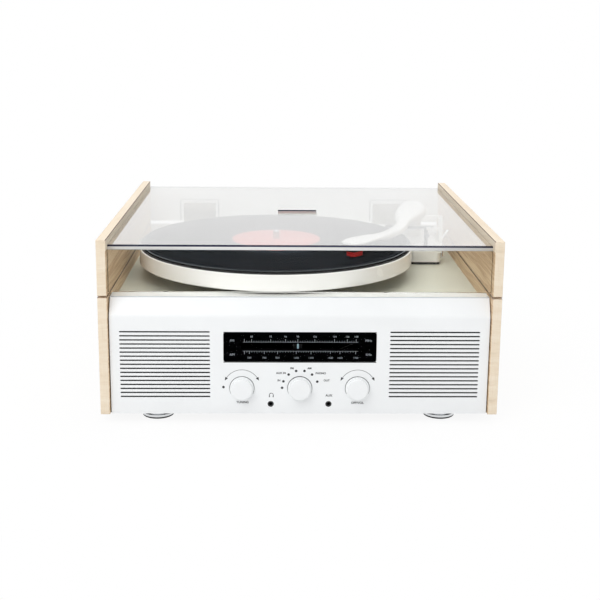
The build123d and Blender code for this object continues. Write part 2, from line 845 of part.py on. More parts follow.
def drive_belt():
    """Rubber belt from the motor pulley to the rim under the platter."""
    wheels = [(platter_x, platter_y, belt_rim_radius + touch_gap),
              (motor_x, motor_y, pulley_drive_radius + touch_gap)]
    return Pos(0, 0, pulley_low) * taut_loop(wheels, belt_thickness, belt_height)


bush_radius = 7.0
bush_low = 95.0
speed_x = 163.0
speed_y = 284.0
speed_travel = 10.0
slide_slot_width = 2.6


def tonearm_pedestal():
    """Moulded base of the tonearm, open below, with a bush for the pivot shaft."""
    low = deck_height + gasket_height
    outer = plate_from([(x, y) for x, y in ((pedestal_x[0], pedestal_y[0]), (pedestal_x[1], pedestal_y[0]),
                                            (pedestal_x[1], pedestal_y[1]), (pedestal_x[0], pedestal_y[1]))],
                       (low, pedestal_top), 6.0)
    outer = fillet(outer.faces().sort_by(Axis.Z)[-1].edges(), 1.5)
    inner = slab((pedestal_x[0] + pedestal_wall, pedestal_x[1] - pedestal_wall),
                 (pedestal_y[0] + pedestal_wall, pedestal_y[1] - pedestal_wall),
                 (low - 1, pedestal_top - pedestal_wall))
    inner = fillet(inner.edges().filter_by(Axis.Z), 4.0)
    body = outer - inner + post(arm_pivot_x, arm_pivot_y, (bush_low, pedestal_top), bush_radius)
    body = body - post(arm_pivot_x, arm_pivot_y, (bush_low - 1, pedestal_top + 1),
                       turret_shaft_radius + running_gap)
    body = body - post(lift_post_x, lift_post_y, (low, pedestal_top + 1), lift_post_radius + running_gap)
    body = body - rod_x(lift_post_y, lever_axle_height, (pedestal_x[1] - 4, pedestal_x[1] + 1),
                        axle_radius + running_gap)
    slot_length = speed_travel + slide_slot_width + 2 * touch_gap
    return body - slab(around(speed_x, slide_slot_width), around(speed_y, slot_length),
                       (low, pedestal_top + 1))


def pedestal_gasket():
    """Dark rubber seal between the pedestal and the deck."""
    inset = 1.2
    outline = [(pedestal_x[0] + inset, pedestal_y[0] + inset), (pedestal_x[1] - inset, pedestal_y[0] + inset),
               (pedestal_x[1] - inset, pedestal_y[1] - inset), (pedestal_x[0] + inset, pedestal_y[1] - inset)]
    ring = plate_from(outline, (deck_height, deck_height + gasket_height), 5.0)
    hole = slab((pedestal_x[0] + 4, pedestal_x[1] - 4), (pedestal_y[0] + 4, pedestal_y[1] - 4),
                (deck_height - 1, deck_height + gasket_height + 1))
    return ring - hole


def speed_switch():
    """Slide switch under the deck that the speed selector moves."""
    low = deck_low - 10
    body = slab(around(speed_x, 9), around(speed_y, 20), (low, deck_height - 0.5))
    return body - slab(around(speed_x, 3.4), around(speed_y, 17), (low + 4, deck_height))


def speed_selector():
    """Small slide knob on the pedestal, with a stem down to its switch."""
    start_y = speed_y - speed_travel / 2
    knob_y = around(start_y, 7)
    cap = slab(around(speed_x, 5), knob_y, (pedestal_top + touch_gap, pedestal_top + 4))
    stem = slab(around(speed_x, 2), around(start_y, 2), (deck_low - 4, pedestal_top + 1))
    return cap + stem


turret_top = tube_low - 4.5


def arm_turret():
    """Swivel post of the tonearm: shaft, round body and two ears for the lift axle."""
    body = post(0, 0, (pedestal_top + touch_gap, turret_top), turret_radius)
    body = fillet(body.edges().filter_by(GeomType.CIRCLE), 0.8)
    shaft = post(0, 0, (bush_low - 4, pedestal_top + 1), turret_shaft_radius)
    clip = post(0, 0, (bush_low - 2.5, bush_low - touch_gap), 5.0)
    whole = body + shaft + clip
    for side in (-1, 1):
        ear_x = sorted((side * 5.5, side * 8.5))
        whole = whole + slab(ear_x, around(0, 9), (turret_top - 1.5, lift_axle_height + 4))
    whole = whole - rod_x(0, lift_axle_height, (-12, 12), axle_radius + running_gap)
    return Pos(arm_pivot_x, arm_pivot_y, 0) * Rot(0, 0, -lift_axle_deg) * whole


def lift_axle(reach=(-16.5, 11.5)):
    """Pin across the arm's housing that the arm tips on."""
    pin = rod_x(0, lift_axle_height, reach, axle_radius)
    return Pos(arm_pivot_x, arm_pivot_y, 0) * Rot(0, 0, -lift_axle_deg) * pin


def arm_housing():
    """Rear body of the arm, hollow below, that sits over the turret."""
    outer = plate_from(housing_outline, (housing_low, housing_high), 2.5)
    outer = fillet(outer.faces().sort_by(Axis.Z)[-1].edges(), 1.6)
    hollow = plate_from(housing_cavity, (housing_low - 1, housing_high - housing_wall), 2.0)
    return outer - hollow - lift_axle((-20, 20)) - arm_tube()


def arm_tube():
    """Moulded tube of the arm, bent towards the record."""
    radii = [40, 60, 60]
    path = FilletPolyline(*tube_path, radius=radii)
    face = trace(path, tube_width)
    tube = Pos(0, 0, tube_low) * extrude(face, tube_high - tube_low)
    return tube


def headshell():
    """Flat head of the arm that carries the cartridge."""
    plate = plate_from(headshell_outline, (headshell_low, headshell_top), 3.0)
    plate = fillet(plate.faces().sort_by(Axis.Z)[-1].edges(), 1.0)
    return plate - arm_tube()


def at_head(shape, along, height):
    """Place a shape under the headshell, measured forwards from the stylus."""
    forward = (-sin(radians(headshell_deg)), -cos(radians(headshell_deg)))
    x = stylus_x + forward[0] * along
    y = stylus_y + forward[1] * along
    return Pos(x, y, height) * Rot(0, 0, -headshell_deg) * shape


cartridge_low = headshell_low - 3.9
stylus_low = cartridge_low - 4.8
needle_low = record_top + touch_gap


def cartridge():
    """Cartridge body screwed under the headshell."""
    align = (Align.CENTER, Align.CENTER, Align.MIN)
    body = Box(*cartridge_size, headshell_low - cartridge_low, align=align)
    return at_head(fillet(body.edges().filter_by(Axis.Z), 1.5), -6, cartridge_low)


def stylus():
    """Replaceable red stylus holder with its needle."""
    align = (Align.CENTER, Align.CENTER, Align.MIN)
    holder = Box(*stylus_size, cartridge_low - stylus_low, align=align)
    holder = fillet(holder.edges().filter_by(Axis.Z), 2.0)
    needle = Cone(0.25, 0.9, stylus_low - needle_low, align=align)
    return at_head(holder, -6, stylus_low) + Pos(stylus_x, stylus_y, needle_low) * needle


def counterweight():
    """Steel block fixed under the roof of the arm's housing, behind the pivot."""
    return slab(weight_x, weight_y, (housing_low + 3, housing_high - housing_wall))


rest_radius = 77.7
rest_depth = 6.0
rest_margin = 1.0
rest_clip_low = tube_high + 3.4
rest_clip_thickness = 2.2


def rest_centre():
    """Plan point of the arm's centreline over its rest when the arm is parked."""
    x0, y0 = tube_path[1]
    x1, y1 = tube_path[2]
    best = None
    for step in range(101):
        share = step / 100
        point = (x0 + (x1 - x0) * share, y0 + (y1 - y0) * share)
        miss = abs(hypot(point[0] - arm_pivot_x, point[1] - arm_pivot_y) - rest_radius)
        if best is None or miss < best[0]:
            best = (miss, point)
    return swung(best[1], arm_park_deg)


rest_x, rest_y = rest_centre()
rest_wall_x = rest_x + tube_width / 2 + rest_margin
rest_pin_x = (rest_wall_x + pedestal_x[1]) / 2


def arm_rest():
    """Post and shelf that hold the parked arm, with the pin of its clip."""
    y_span = around(rest_y, rest_depth)
    column = slab((rest_wall_x, pedestal_x[1]), y_span, (pedestal_top - 2.5, rest_clip_low - touch_gap))
    brace = slab((rest_wall_x - 5, pedestal_x[1]), y_span, (pedestal_top, pedestal_top + 6))
    shelf = slab((rest_x - tube_width / 2 - 1, pedestal_x[1]), y_span, (tube_low - 3.2, tube_low - touch_gap))
    pin = post(rest_pin_x, rest_y, (rest_clip_low - 1, rest_clip_low + rest_clip_thickness), 1.0)
    return column + brace + shelf + pin


def arm_clip():
    """Bar that turns over the parked arm and holds it down."""
    x_span = (rest_x - tube_width / 2 - 1, pedestal_x[1])
    z_span = (rest_clip_low, rest_clip_low + rest_clip_thickness)
    bar = slab(x_span, around(rest_y, 4.6), z_span)
    bar = fillet(bar.edges().filter_by(Axis.Z), 1.4)
    return bar - post(rest_pin_x, rest_y, (rest_clip_low - 1, rest_clip_low + 4), 1.0 + running_gap)


def cue_lift():
    """Black lift post with the curved bar that raises the arm."""
    bar_low = tube_low - 0.4 - 2.4
    cam_top = lever_axle_height + cam_radius - lift_travel / 2 + touch_gap
    column = post(lift_post_x, lift_post_y, (cam_top, bar_low + 1), lift_post_radius)
    sweep_low, sweep_high = -124.0, -76.0
    ring = Circle(lift_radius + 2.5) - Circle(lift_radius - 2.5)
    wedge_points = [(0, 0)]
    for angle in (sweep_low, (sweep_low + sweep_high) / 2, sweep_high):
        wedge_points.append((120 * cos(radians(angle)), 120 * sin(radians(angle))))
    arc = ring & make_face(Polyline(*wedge_points, close=True))
    bar = Pos(arm_pivot_x, arm_pivot_y, bar_low) * extrude(arc, 2.4)
    return column + bar


def cue_lever():
    """Lever, axle and cam in one piece; turning it raises the lift post."""
    y, z = lift_post_y, lever_axle_height
    axle = rod_x(y, z, (lift_post_x - 4, pedestal_x[1] + 3), axle_radius)
    offset_deg = -30.0
    cam_y = y + lift_travel * cos(radians(offset_deg))
    cam_z = z + lift_travel * sin(radians(offset_deg))
    cam = rod_x(cam_y, cam_z, around(lift_post_x, 6), cam_radius)
    root_x = pedestal_x[1] + 2.2
    tip = (root_x + 9.0, y + 17, z + 25)
    knee = (root_x + 0.6, y + 7, z + 17)
    handle = Line((root_x, y, z), knee)
    stem = sweep(Plane(origin=(root_x, y, z), z_dir=handle % 0) * Circle(1.6), path=handle)
    reach = Line(knee, tip)
    blade = sweep(Plane(origin=knee, z_dir=reach % 0) * Circle(1.6), path=reach)
    return axle + cam + stem + blade + Pos(*knee) * Sphere(1.6) + Pos(*tip) * Sphere(2.0)


def lid_top_panel():
    """Clear top of the lid with the hand hole in its middle."""
    panel = slab((-inner_x, inner_x), (lid_front_y, board_depth - 1), (lid_top_low, lid_top_height))
    hole = slab(around(0, handhold_width), (handhold_front_y, handhold_front_y + handhold_depth),
                (lid_top_low - 1, lid_top_height + 1))
    hole = fillet(hole.edges().filter_by(Axis.Z), 2.5)
    return panel - hole


def lid_front_panel():
    """Clear front of the lid, under the front edge of the top."""
    return slab((-inner_x, inner_x), (lid_front_y, lid_front_y + lid_front_thickness),
                (lid_window_low, lid_top_low))


lid_rear_inner_y = rear_outer_y - lid_rear_thickness
pocket_depth = 1.0
lid_hinge_screw_height = lid_rear_low + 14.3
hinge_screw_half = 11.6
hinge_screw_xs = [side * hinge_x + end * hinge_screw_half for side in (-1, 1) for end in (-1, 1)]
lid_hinge_screw_places = [(x, lid_hinge_screw_height) for x in hinge_screw_xs]
base_hinge_screw_places = [(x, base_hinge_screw_height) for x in hinge_screw_xs]


def lid_rear_panel():
    """White back of the lid with a shallow pocket for each hinge."""
    panel = slab((-inner_x, inner_x), (lid_rear_inner_y, rear_outer_y), (lid_rear_low, lid_top_low))
    pocket_y = (lid_rear_inner_y - 1, lid_rear_inner_y + pocket_depth)
    pocket_z = (lid_rear_low - 1, lid_rear_low + clamp_height + 2.5)
    for side in (-1, 1):
        panel = panel - slab(around(side * hinge_x, hinge_width + 5), pocket_y, pocket_z)
    for x, z in lid_hinge_screw_places:
        panel = panel - rod_y(x, z, (lid_rear_inner_y - 1, rear_outer_y + 1), screw_shank)
    return panel


def lid_hinge_clamps():
    """Steel plates inside the lid that the hinge screws pull against."""
    plates = []
    y_span = (lid_rear_inner_y + pocket_depth - clamp_thickness, lid_rear_inner_y + pocket_depth)
    for side in (-1, 1):
        plate = slab(around(side * hinge_x, hinge_width), y_span, (lid_rear_low, lid_rear_low + clamp_height))
        for x, z in lid_hinge_screw_places:
            plate = plate - rod_y(x, z, (y_span[0] - 1, y_span[1] + 1), screw_shank)
        plates.append(plate)
    return group(*plates)


def lid_hinge_screws():
    """Screws from inside the lid through clamp plate, panel and hinge leaf."""
    head_back = lid_rear_inner_y + pocket_depth - clamp_thickness
    screws = []
    for x, z in lid_hinge_screw_places:
        head = rod_y(x, z, (head_back - small_head_height, head_back), small_head)
        screws.append(head + rod_y(x, z, (head_back, rear_outer_y + hinge_leaf), screw_shank))
    return group(*screws)


def lid_hinge_leaves():
    """Upper hinge leaves with the middle knuckle round the pin."""
    leaves = []
    y_span = (rear_outer_y, rear_outer_y + hinge_leaf)
    knuckle = hinge_width - 2 * hinge_knuckle - 2 * touch_gap
    for side in (-1, 1):
        x = side * hinge_x
        leaf = slab(around(x, hinge_width), y_span, (lid_rear_low + 2, lid_rear_low + clamp_height))
        leaf = leaf + rod_x(hinge_axis_y, hinge_axis_height, around(x, knuckle), hinge_barrel_radius)
        leaf = leaf + slab(around(x, knuckle), (rear_outer_y, hinge_axis_y),
                           (hinge_axis_height + 1.5, lid_rear_low + 4))
        leaf = leaf - rod_x(hinge_axis_y, hinge_axis_height, around(x, hinge_width + 2), hinge_pin_radius)
        for place, z in lid_hinge_screw_places:
            leaf = leaf - rod_y(place, z, (y_span[0] - 1, y_span[1] + 1), screw_shank)
        leaves.append(leaf)
    return group(*leaves)


def base_hinge_leaves():
    """Lower hinge leaves with the two outer knuckles."""
    leaves = []
    y_span = (rear_outer_y, rear_outer_y + hinge_leaf)
    top = hinge_axis_height - hinge_barrel_radius - 1
    for side in (-1, 1):
        x = side * hinge_x
        leaf = slab(around(x, hinge_width), y_span, (base_hinge_low, top))
        for end in (-1, 1):
            knuckle = around(x + end * (hinge_width - hinge_knuckle) / 2, hinge_knuckle)
            leaf = leaf + slab(knuckle, (rear_outer_y, hinge_axis_y), (top - 3, hinge_axis_height))
            leaf = leaf + rod_x(hinge_axis_y, hinge_axis_height, knuckle, hinge_barrel_radius)
        leaf = leaf - rod_x(hinge_axis_y, hinge_axis_height, around(x, hinge_width + 2),
                            hinge_pin_radius + running_gap)
        for place, z in base_hinge_screw_places:
            leaf = leaf - rod_y(place, z, (y_span[0] - 1, y_span[1] + 1), screw_shank)
        leaves.append(leaf)
    return group(*leaves)


def base_hinge_screws():
    """Screws that hold the lower leaves to the back wall."""
    screws = []
    face = rear_outer_y + hinge_leaf
    for x, z in base_hinge_screw_places:
        head = rod_y(x, z, (face, face + small_head_height), small_head)
        screws.append(head + rod_y(x, z, (rear_inner_y - 3, face), screw_shank))
    return group(*screws)


def hinge_pins():
    """Pins of the two hinges, fixed in the lid's knuckles."""
    spans = [around(side * hinge_x, hinge_width - 0.4) for side in (-1, 1)]
    return group(*[rod_x(hinge_axis_y, hinge_axis_height, span, hinge_pin_radius) for span in spans])


def lid_bumpers():
    """Soft buttons between the lower and upper boards."""
    low = base_board_height
    x = cabinet_width / 2 - board_thickness / 2
    height = lid_gap - 0.1
    places = side_pairs(x, 40.0) + side_pairs(x, board_depth - 40.0)
    return group(*[post(place_x, place_y, (low, low + height), 3.0) for place_x, place_y in places])


def rca_jacks():
    """Line output sockets with hollow barrels."""
    sockets = []
    for x in rca_x:
        barrel = rod_y(x, rca_height, (rear_inner_y, rear_outer_y + rca_length), rca_radius)
        collar_span = (rear_inner_y, rear_outer_y + rca_collar_rise)
        barrel = barrel + rod_y(x, rca_height, collar_span, rca_collar_radius)
        body = slab(around(x, 12), (rear_inner_y - 10, rear_inner_y), around(rca_height, 12))
        bore = rod_y(x, rca_height, (rear_outer_y - 2, rear_outer_y + rca_length + 1), rca_bore_radius)
        sockets.append(barrel + body - bore)
    return group(*sockets)


def antenna_socket():
    """Threaded aerial socket."""
    barrel = rod_y(antenna_x, rca_height, (rear_inner_y, rear_outer_y + 8.5), antenna_radius)
    nut = rod_y(antenna_x, rca_height, (rear_outer_y, rear_outer_y + 1.8), 6.5)
    body = slab(around(antenna_x, 13), (rear_inner_y - 8, rear_inner_y), around(rca_height, 13))
    return barrel + nut + body - rod_y(antenna_x, rca_height, (rear_outer_y - 2, rear_outer_y + 9.5), 0.8)


def power_inlet():
    """Round low-voltage power socket with its centre pin."""
    body = slab(around(inlet_x, 13), (rear_inner_y - 12, rear_inner_y), around(rca_height, 13))
    collar = rod_y(inlet_x, rca_height, (rear_inner_y, rear_outer_y + 1.0), inlet_radius)
    bore = rod_y(inlet_x, rca_height, (rear_inner_y - 6, rear_outer_y + 2), inlet_bore_radius)
    pin = rod_y(inlet_x, rca_height, (rear_inner_y - 6.5, rear_outer_y - 0.5), inlet_pin_radius)
    return body + collar - bore + pin


left_speaker = speaker_pieces(-1)
right_speaker = speaker_pieces(1)
base_z = (0, base_board_height)
lid_z = (lid_board_low, lid_board_high)
tuning_shaft_length = capacitor_front + capacitor_depth - 4 - shaft_front
selector_shaft_length = control_back + selector_depth - 3 - shaft_front
volume_shaft_length = control_back + pot_depth - 3 - shaft_front

nodes = {
    "side_boards": group(side_board(-1, base_z), side_board(1, base_z)),
    "front_fascia": front_fascia(),
    "bottom_panel": bottom_panel(),
    "rear_panel": rear_panel(),
    "deck_plate": deck_plate(),
    "corner_cleats": corner_cleats(),
    "case_screws": group(bottom_screws(), rear_screws(), base_hinge_screws(), motor_screws()),
    "foot_rings": foot_rings(),
    "foot_pads": foot_pads(),
    "grille_cloths": group(left_speaker[0], right_speaker[0]),
    "speaker_frames": group(left_speaker[1], left_speaker[3], right_speaker[1], right_speaker[3]),
    "speaker_cones": group(left_speaker[2], right_speaker[2]),
    "dial_lens": dial_lens(),
    "dial_scale_plate": dial_scale_plate(),
    "pointer_rail": group(pointer_rail(), cord_pulleys()),
    "dial_pointer": dial_pointer(),
    "dial_cord": dial_cord(),
    "control_bracket": control_bracket(),
    "tuning_knob": knob(-knob_spacing),
    "tuning_shaft": control_shaft(-knob_spacing, tuning_shaft_length) + tuning_drum(),
    "selector_knob": knob(0),
    "selector_shaft": control_shaft(0, selector_shaft_length),
    "volume_knob": knob(knob_spacing),
    "volume_shaft": control_shaft(knob_spacing, volume_shaft_length),
    "control_units": group(selector_switch(), volume_control(), tuning_capacitor(), speed_switch()),
    "phone_jacks": group(jack(-jack_x), jack(jack_x)),
    "circuit_board": circuit_board(),
    "power_transformer": power_transformer(),
    "rear_sockets": group(rca_jacks(), antenna_socket(), power_inlet()),
    "spindle_bearing": spindle_bearing(),
    "spindle": spindle(),
    "platter": platter(),
    "platter_mat": platter_mat(),
    "record": record(),
    "record_label": record_label(),
    "motor": motor(),
    "motor_pulley": motor_pulley() + motor_shaft(),
    "drive_belt": drive_belt(),
    "tonearm_pedestal": tonearm_pedestal() + arm_rest(),
    "pedestal_gasket": pedestal_gasket(),
    "speed_selector": speed_selector(),
    "arm_turret": arm_turret(),
    "lift_axle": lift_axle(),
    "arm_housing": arm_housing(),
    "counterweight": counterweight(),
    "arm_tube": arm_tube(),
    "headshell": headshell(),
    "cartridge": cartridge(),
    "stylus": stylus(),
    "arm_clip": arm_clip(),
    "cue_lift": cue_lift(),
    "cue_lever": cue_lever(),
    "lid_side_boards": group(side_board(-1, lid_z), side_board(1, lid_z)),
    "lid_top_panel": lid_top_panel(),
    "lid_front_panel": lid_front_panel(),
    "lid_rear_panel": lid_rear_panel(),
    "lid_hinge_clamps": group(lid_hinge_clamps(), lid_hinge_screws()),
    "lid_hinge_leaves": group(lid_hinge_leaves(), hinge_pins()),
    "base_hinge_leaves": base_hinge_leaves(),
    "lid_bumpers": lid_bumpers(),
}


def save(name, shape):
    """Write one node in the finished frame."""
    export_step(to_row_frame * shape, os.path.join("parts", name + ".step"))


for name, shape in nodes.items():
    save(name, shape)
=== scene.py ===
"""Looks of a record player with a radio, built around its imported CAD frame."""
import json
import math

import bmesh
import bpy
from mathutils import Matrix, Vector


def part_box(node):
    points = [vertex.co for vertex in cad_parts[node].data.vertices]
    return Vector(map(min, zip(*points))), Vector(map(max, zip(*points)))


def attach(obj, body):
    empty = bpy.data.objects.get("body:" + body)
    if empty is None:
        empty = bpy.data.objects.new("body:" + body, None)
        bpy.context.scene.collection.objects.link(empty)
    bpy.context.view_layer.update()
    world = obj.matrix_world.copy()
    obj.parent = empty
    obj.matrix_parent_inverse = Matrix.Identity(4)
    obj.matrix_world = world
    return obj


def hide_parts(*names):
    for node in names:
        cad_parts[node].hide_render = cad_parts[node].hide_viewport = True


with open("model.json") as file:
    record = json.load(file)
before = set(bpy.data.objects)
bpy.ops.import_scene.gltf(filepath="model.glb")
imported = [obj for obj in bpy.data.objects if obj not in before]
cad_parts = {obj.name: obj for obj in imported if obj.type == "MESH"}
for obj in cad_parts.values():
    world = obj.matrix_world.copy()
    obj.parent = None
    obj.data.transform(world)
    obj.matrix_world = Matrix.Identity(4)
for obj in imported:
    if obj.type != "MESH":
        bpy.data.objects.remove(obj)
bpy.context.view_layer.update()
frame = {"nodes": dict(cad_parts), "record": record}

# Cabinet millimetres, as in the CAD source: X from the middle, depth from the front ends of the
# side boards, height from their bottom ends. place() turns them into metres of the shared frame.
MIDDLE_DEPTH = 193.75
FOOT_HEIGHT = 9.5
MM = 0.001

FASCIA_FRONT = 3.0
SCALE_FRONT = 6.0
LENS_FRONT = 3.4
LENS_SIZE = (153.2, 30.2)
LENS_HEIGHT = 70.0
PRINT_THICKNESS = 0.04
KNOB_SPACING = 58.2
KNOB_HEIGHT = 26.8
SELECTOR_HEIGHT = 27.0

# Colour ramps run from their dark end to their light end between these values of a noise
RAMP_LOW, RAMP_HIGH = 0.3, 0.7
MOTTLE_MM, GRAIN_MM = 45.0, 0.5
BLACK = (0.0, 0.0, 0.0, 1.0)
# Sockets of a Mix node for its two colours and for its result
MIX_FIRST, MIX_SECOND, MIX_RESULT = 6, 7, 2


def place(x, depth, height):
    """A point of the cabinet, in millimetres, as a point of the scene."""
    return Vector((x, depth - MIDDLE_DEPTH, height + FOOT_HEIGHT)) * MM


def tint(red, green, blue):
    """Linear colour of an sRGB colour in steps of 255."""
    steps = [value / 255 for value in (red, green, blue)]
    linear = [s / 12.92 if s <= 0.04045 else ((s + 0.055) / 1.055) ** 2.4 for s in steps]
    return (*linear, 1.0)


def shade(colour, share):
    """The same colour, lighter or darker."""
    return (*[min(1.0, value * share) for value in colour[:3]], 1.0)


class Graph:
    """Shader nodes of one material, with short calls for what repeats."""

    def __init__(self, name):
        self.material = bpy.data.materials.new(name)
        self.material.use_nodes = True
        self.tree = self.material.node_tree
        self.tree.nodes.clear()
        self.output = self.tree.nodes.new("ShaderNodeOutputMaterial")

    def add(self, kind, inputs=None, **settings):
        node = self.tree.nodes.new("ShaderNode" + kind)
        for name, value in settings.items():
            setattr(node, name, value)
        for name, value in (inputs or {}).items():
            self.put(node.inputs[name], value)
        return node

    def put(self, socket, value):
        if isinstance(value, bpy.types.NodeSocket):
            self.tree.links.new(value, socket)
        else:
            socket.default_value = value

    def space(self, scale=(1, 1, 1), origin=(0, 0, 0)):
        """Object coordinates from a given origin, stretched."""
        source = self.add("TexCoord").outputs["Object"]
        moved = self.add("VectorMath", {0: source, 1: origin}, operation="SUBTRACT").outputs[0]
        return self.add("Mapping", {"Vector": moved, "Scale": scale}).outputs[0]

    def apart(self, x=0.0, depth=0.0, height=0.0):
        """Distances along X, Y and Z from a point of the cabinet."""
        origin = tuple(place(x, depth, height))
        return self.add("SeparateXYZ", {0: self.space(origin=origin)}).outputs

    def noise(self, vector, scale, detail=3.0, roughness=0.5):
        node = self.add("TexNoise", {"Vector": vector, "Scale": scale, "Detail": detail,
                                     "Roughness": roughness})
        return node.outputs["Fac"]

    def mottle(self, colour, size_mm, share, detail=2.0, roughness=0.5):
        """Noise of one size, and a tone that goes with it from a share of the colour to the colour."""
        patches = self.noise(self.space(), 1 / (size_mm * MM), detail, roughness)
        return patches, self.ramp(patches, ((RAMP_LOW, shade(colour, share)), (RAMP_HIGH, colour)))

    def ramp(self, factor, stops):
        """Colour ramp; each stop is a position and a colour."""
        node = self.add("ValToRGB", {"Fac": factor})
        elements = node.color_ramp.elements
        while len(elements) < len(stops):
            elements.new(0.5)
        for element, (position, colour) in zip(elements, stops):
            element.position = position
            element.color = colour
        return node.outputs["Color"]

    def between(self, factor, low, high):
        """A factor from 0 to 1 as a number between two limits."""
        node = self.add("MapRange", {"Value": factor, "To Min": low, "To Max": high})
        return node.outputs["Result"]

    def math(self, operation, first, second=0.0):
        return self.add("Math", {0: first, 1: second}, operation=operation).outputs[0]

    def within(self, length, middle_mm, half_mm):
        """1 where a length lies no further than half_mm from the middle, and 0 elsewhere."""
        inputs = {0: length, 1: middle_mm * MM, 2: half_mm * MM}
        return self.add("Math", inputs, operation="COMPARE").outputs[0]

    def blend(self, factor, first, second, blend_type="MIX"):
        inputs = {0: factor, MIX_FIRST: first, MIX_SECOND: second}
        return self.add("Mix", inputs, data_type="RGBA", blend_type=blend_type).outputs[MIX_RESULT]

    def bump(self, height, strength, distance_mm):
        inputs = {"Height": height, "Strength": strength, "Distance": distance_mm * MM}
        return self.add("Bump", inputs).outputs[0]

    def principled(self, inputs):
        return self.add("BsdfPrincipled", inputs).outputs[0]

    def close(self, shader):
        self.put(self.output.inputs["Surface"], shader)
        return self.material


def plastic(name, colour, roughness, grain_mm=GRAIN_MM, grain=0.04, coat=0.0, gloss=0.5):
    """Moulded plastic: faint mottling, a fine grain and a slightly uneven gloss."""
    graph = Graph(name)
    wide, tone = graph.mottle(colour, MOTTLE_MM, 0.97)
    fine = graph.noise(graph.space(), 1 / (grain_mm * MM), 2.0)
    return graph.close(graph.principled({
        "Base Color": tone, "Roughness": graph.between(wide, roughness - 0.04, roughness + 0.05),
        "Specular IOR Level": gloss, "Normal": graph.bump(fine, grain, 0.05),
        "Coat Weight": coat, "Coat Roughness": 0.12}))


GRILLE_X, GRILLE_HALF = 135.0, 45.6
GRILLE_LOW, GRILLE_HIGH = 16.0, 92.0
SLOT_LIP = 0.4
# Painted shade inside the slots of the grille
SLOT_PAINTED_SHADE = tint(20, 23, 28)
LEDGE_FRONT, LEDGE_LINE = 12.2, 13.6
LEDGE_LOW = 115.0
# Painted shade on the ledge behind the brow, and a darker painted shade line along its front
LEDGE_PAINTED_SHADE = (0.84, 0.83, 0.79, 1.0)
BROW_LINE_PAINTED_SHADE = (0.72, 0.76, 0.84, 1.0)


def fascia_finish():
    """White moulding of the front: painted shade inside its slots, painted shade on the ledge behind its
    brow and a darker painted shade line along the ledge's front.
    """
    graph = Graph("fascia_white_plastic")
    wide, tone = graph.mottle(tint(246, 248, 249), MOTTLE_MM, 0.97)
    fine = graph.noise(graph.space(), 1 / (GRAIN_MM * MM), 2.0)
    parts = graph.apart()
    side, depth, height = graph.math("ABSOLUTE", parts["X"]), parts["Y"], parts["Z"]
    grille = graph.within(side, GRILLE_X, GRILLE_HALF)
    rows = graph.within(height, (GRILLE_LOW + GRILLE_HIGH) / 2, (GRILLE_HIGH - GRILLE_LOW) / 2)
    inside = graph.math("GREATER_THAN", depth, (FASCIA_FRONT + SLOT_LIP) * MM)
    slots = graph.math("MULTIPLY", graph.math("MULTIPLY", grille, rows), inside)
    # Painted shade inside the slots
    tone = graph.blend(slots, tone, SLOT_PAINTED_SHADE)
    above = graph.math("GREATER_THAN", height, LEDGE_LOW * MM)
    ledge_shade = graph.math("MULTIPLY", above, graph.math("GREATER_THAN", depth, LEDGE_FRONT * MM))
    # Painted shade on the ledge, then a darker painted shade line along its front
    tone = graph.blend(ledge_shade, tone, LEDGE_PAINTED_SHADE, "MULTIPLY")
    line = graph.math("MULTIPLY", ledge_shade, graph.math("LESS_THAN", depth, LEDGE_LINE * MM))
    tone = graph.blend(line, tone, BROW_LINE_PAINTED_SHADE, "MULTIPLY")
    return graph.close(graph.principled({
        "Base Color": tone, "Roughness": graph.between(wide, 0.34, 0.43),
        "Normal": graph.bump(fine, 0.04, 0.05), "Coat Weight": 0.1, "Coat Roughness": 0.12}))


METAL_PATCH_MM = 25.0


def metal(name, colour, roughness, grain=0.1):
    """Bare metal with a fine uneven gloss."""
    graph = Graph(name)
    tone = graph.mottle(colour, METAL_PATCH_MM, 0.9)[1]
    fine = graph.noise(graph.space(), 1 / (GRAIN_MM * MM), 3.0)
    return graph.close(graph.principled({
        "Base Color": tone, "Metallic": 1.0,
        "Roughness": graph.between(fine, roughness * 0.7, roughness * 1.3),
        "Normal": graph.bump(fine, grain, 0.02)}))


INNER_FACE, INNER_BLEND = 190.6, 0.6
SEAM_LINES, SEAM_HALF = (121.15, 122.85), 0.3
TOP_CORNER, CORNER_BAND = 178.3, 0.4
EDGE_LOW, EDGE_HIGH = 168.0, 172.0
# Stretch of each noise in the wood, along X, Y and Z
SWAY_SCALE = (30, 8, 12)
SWAY_REACH = 0.012
PORE_SCALE = (90, 14, 1000)
STREAK_SCALE = (24, 4, 190)
END_GRAIN_SCALE = (600, 9, 60)
BROAD_SCALE = (30, 3, 30)
WOOD_LIGHT, WOOD_MIDDLE, WOOD_DARK = tint(243, 230, 209), tint(234, 216, 190), tint(205, 178, 144)
# Painted shade in the seam gaps and along the inner top corners
SEAM_PAINTED_SHADE = tint(112, 74, 50)
# Painted shade of the inner faces, then the deeper colour of their grain streaks
INNER_PAINTED_SHADE = (0.82, 0.7, 0.55, 1.0)
INNER_STREAK = (0.66, 0.52, 0.38, 1.0)


def grey(level):
    """Opaque grey, as the strength of a mask."""
    return (level, level, level, 1.0)


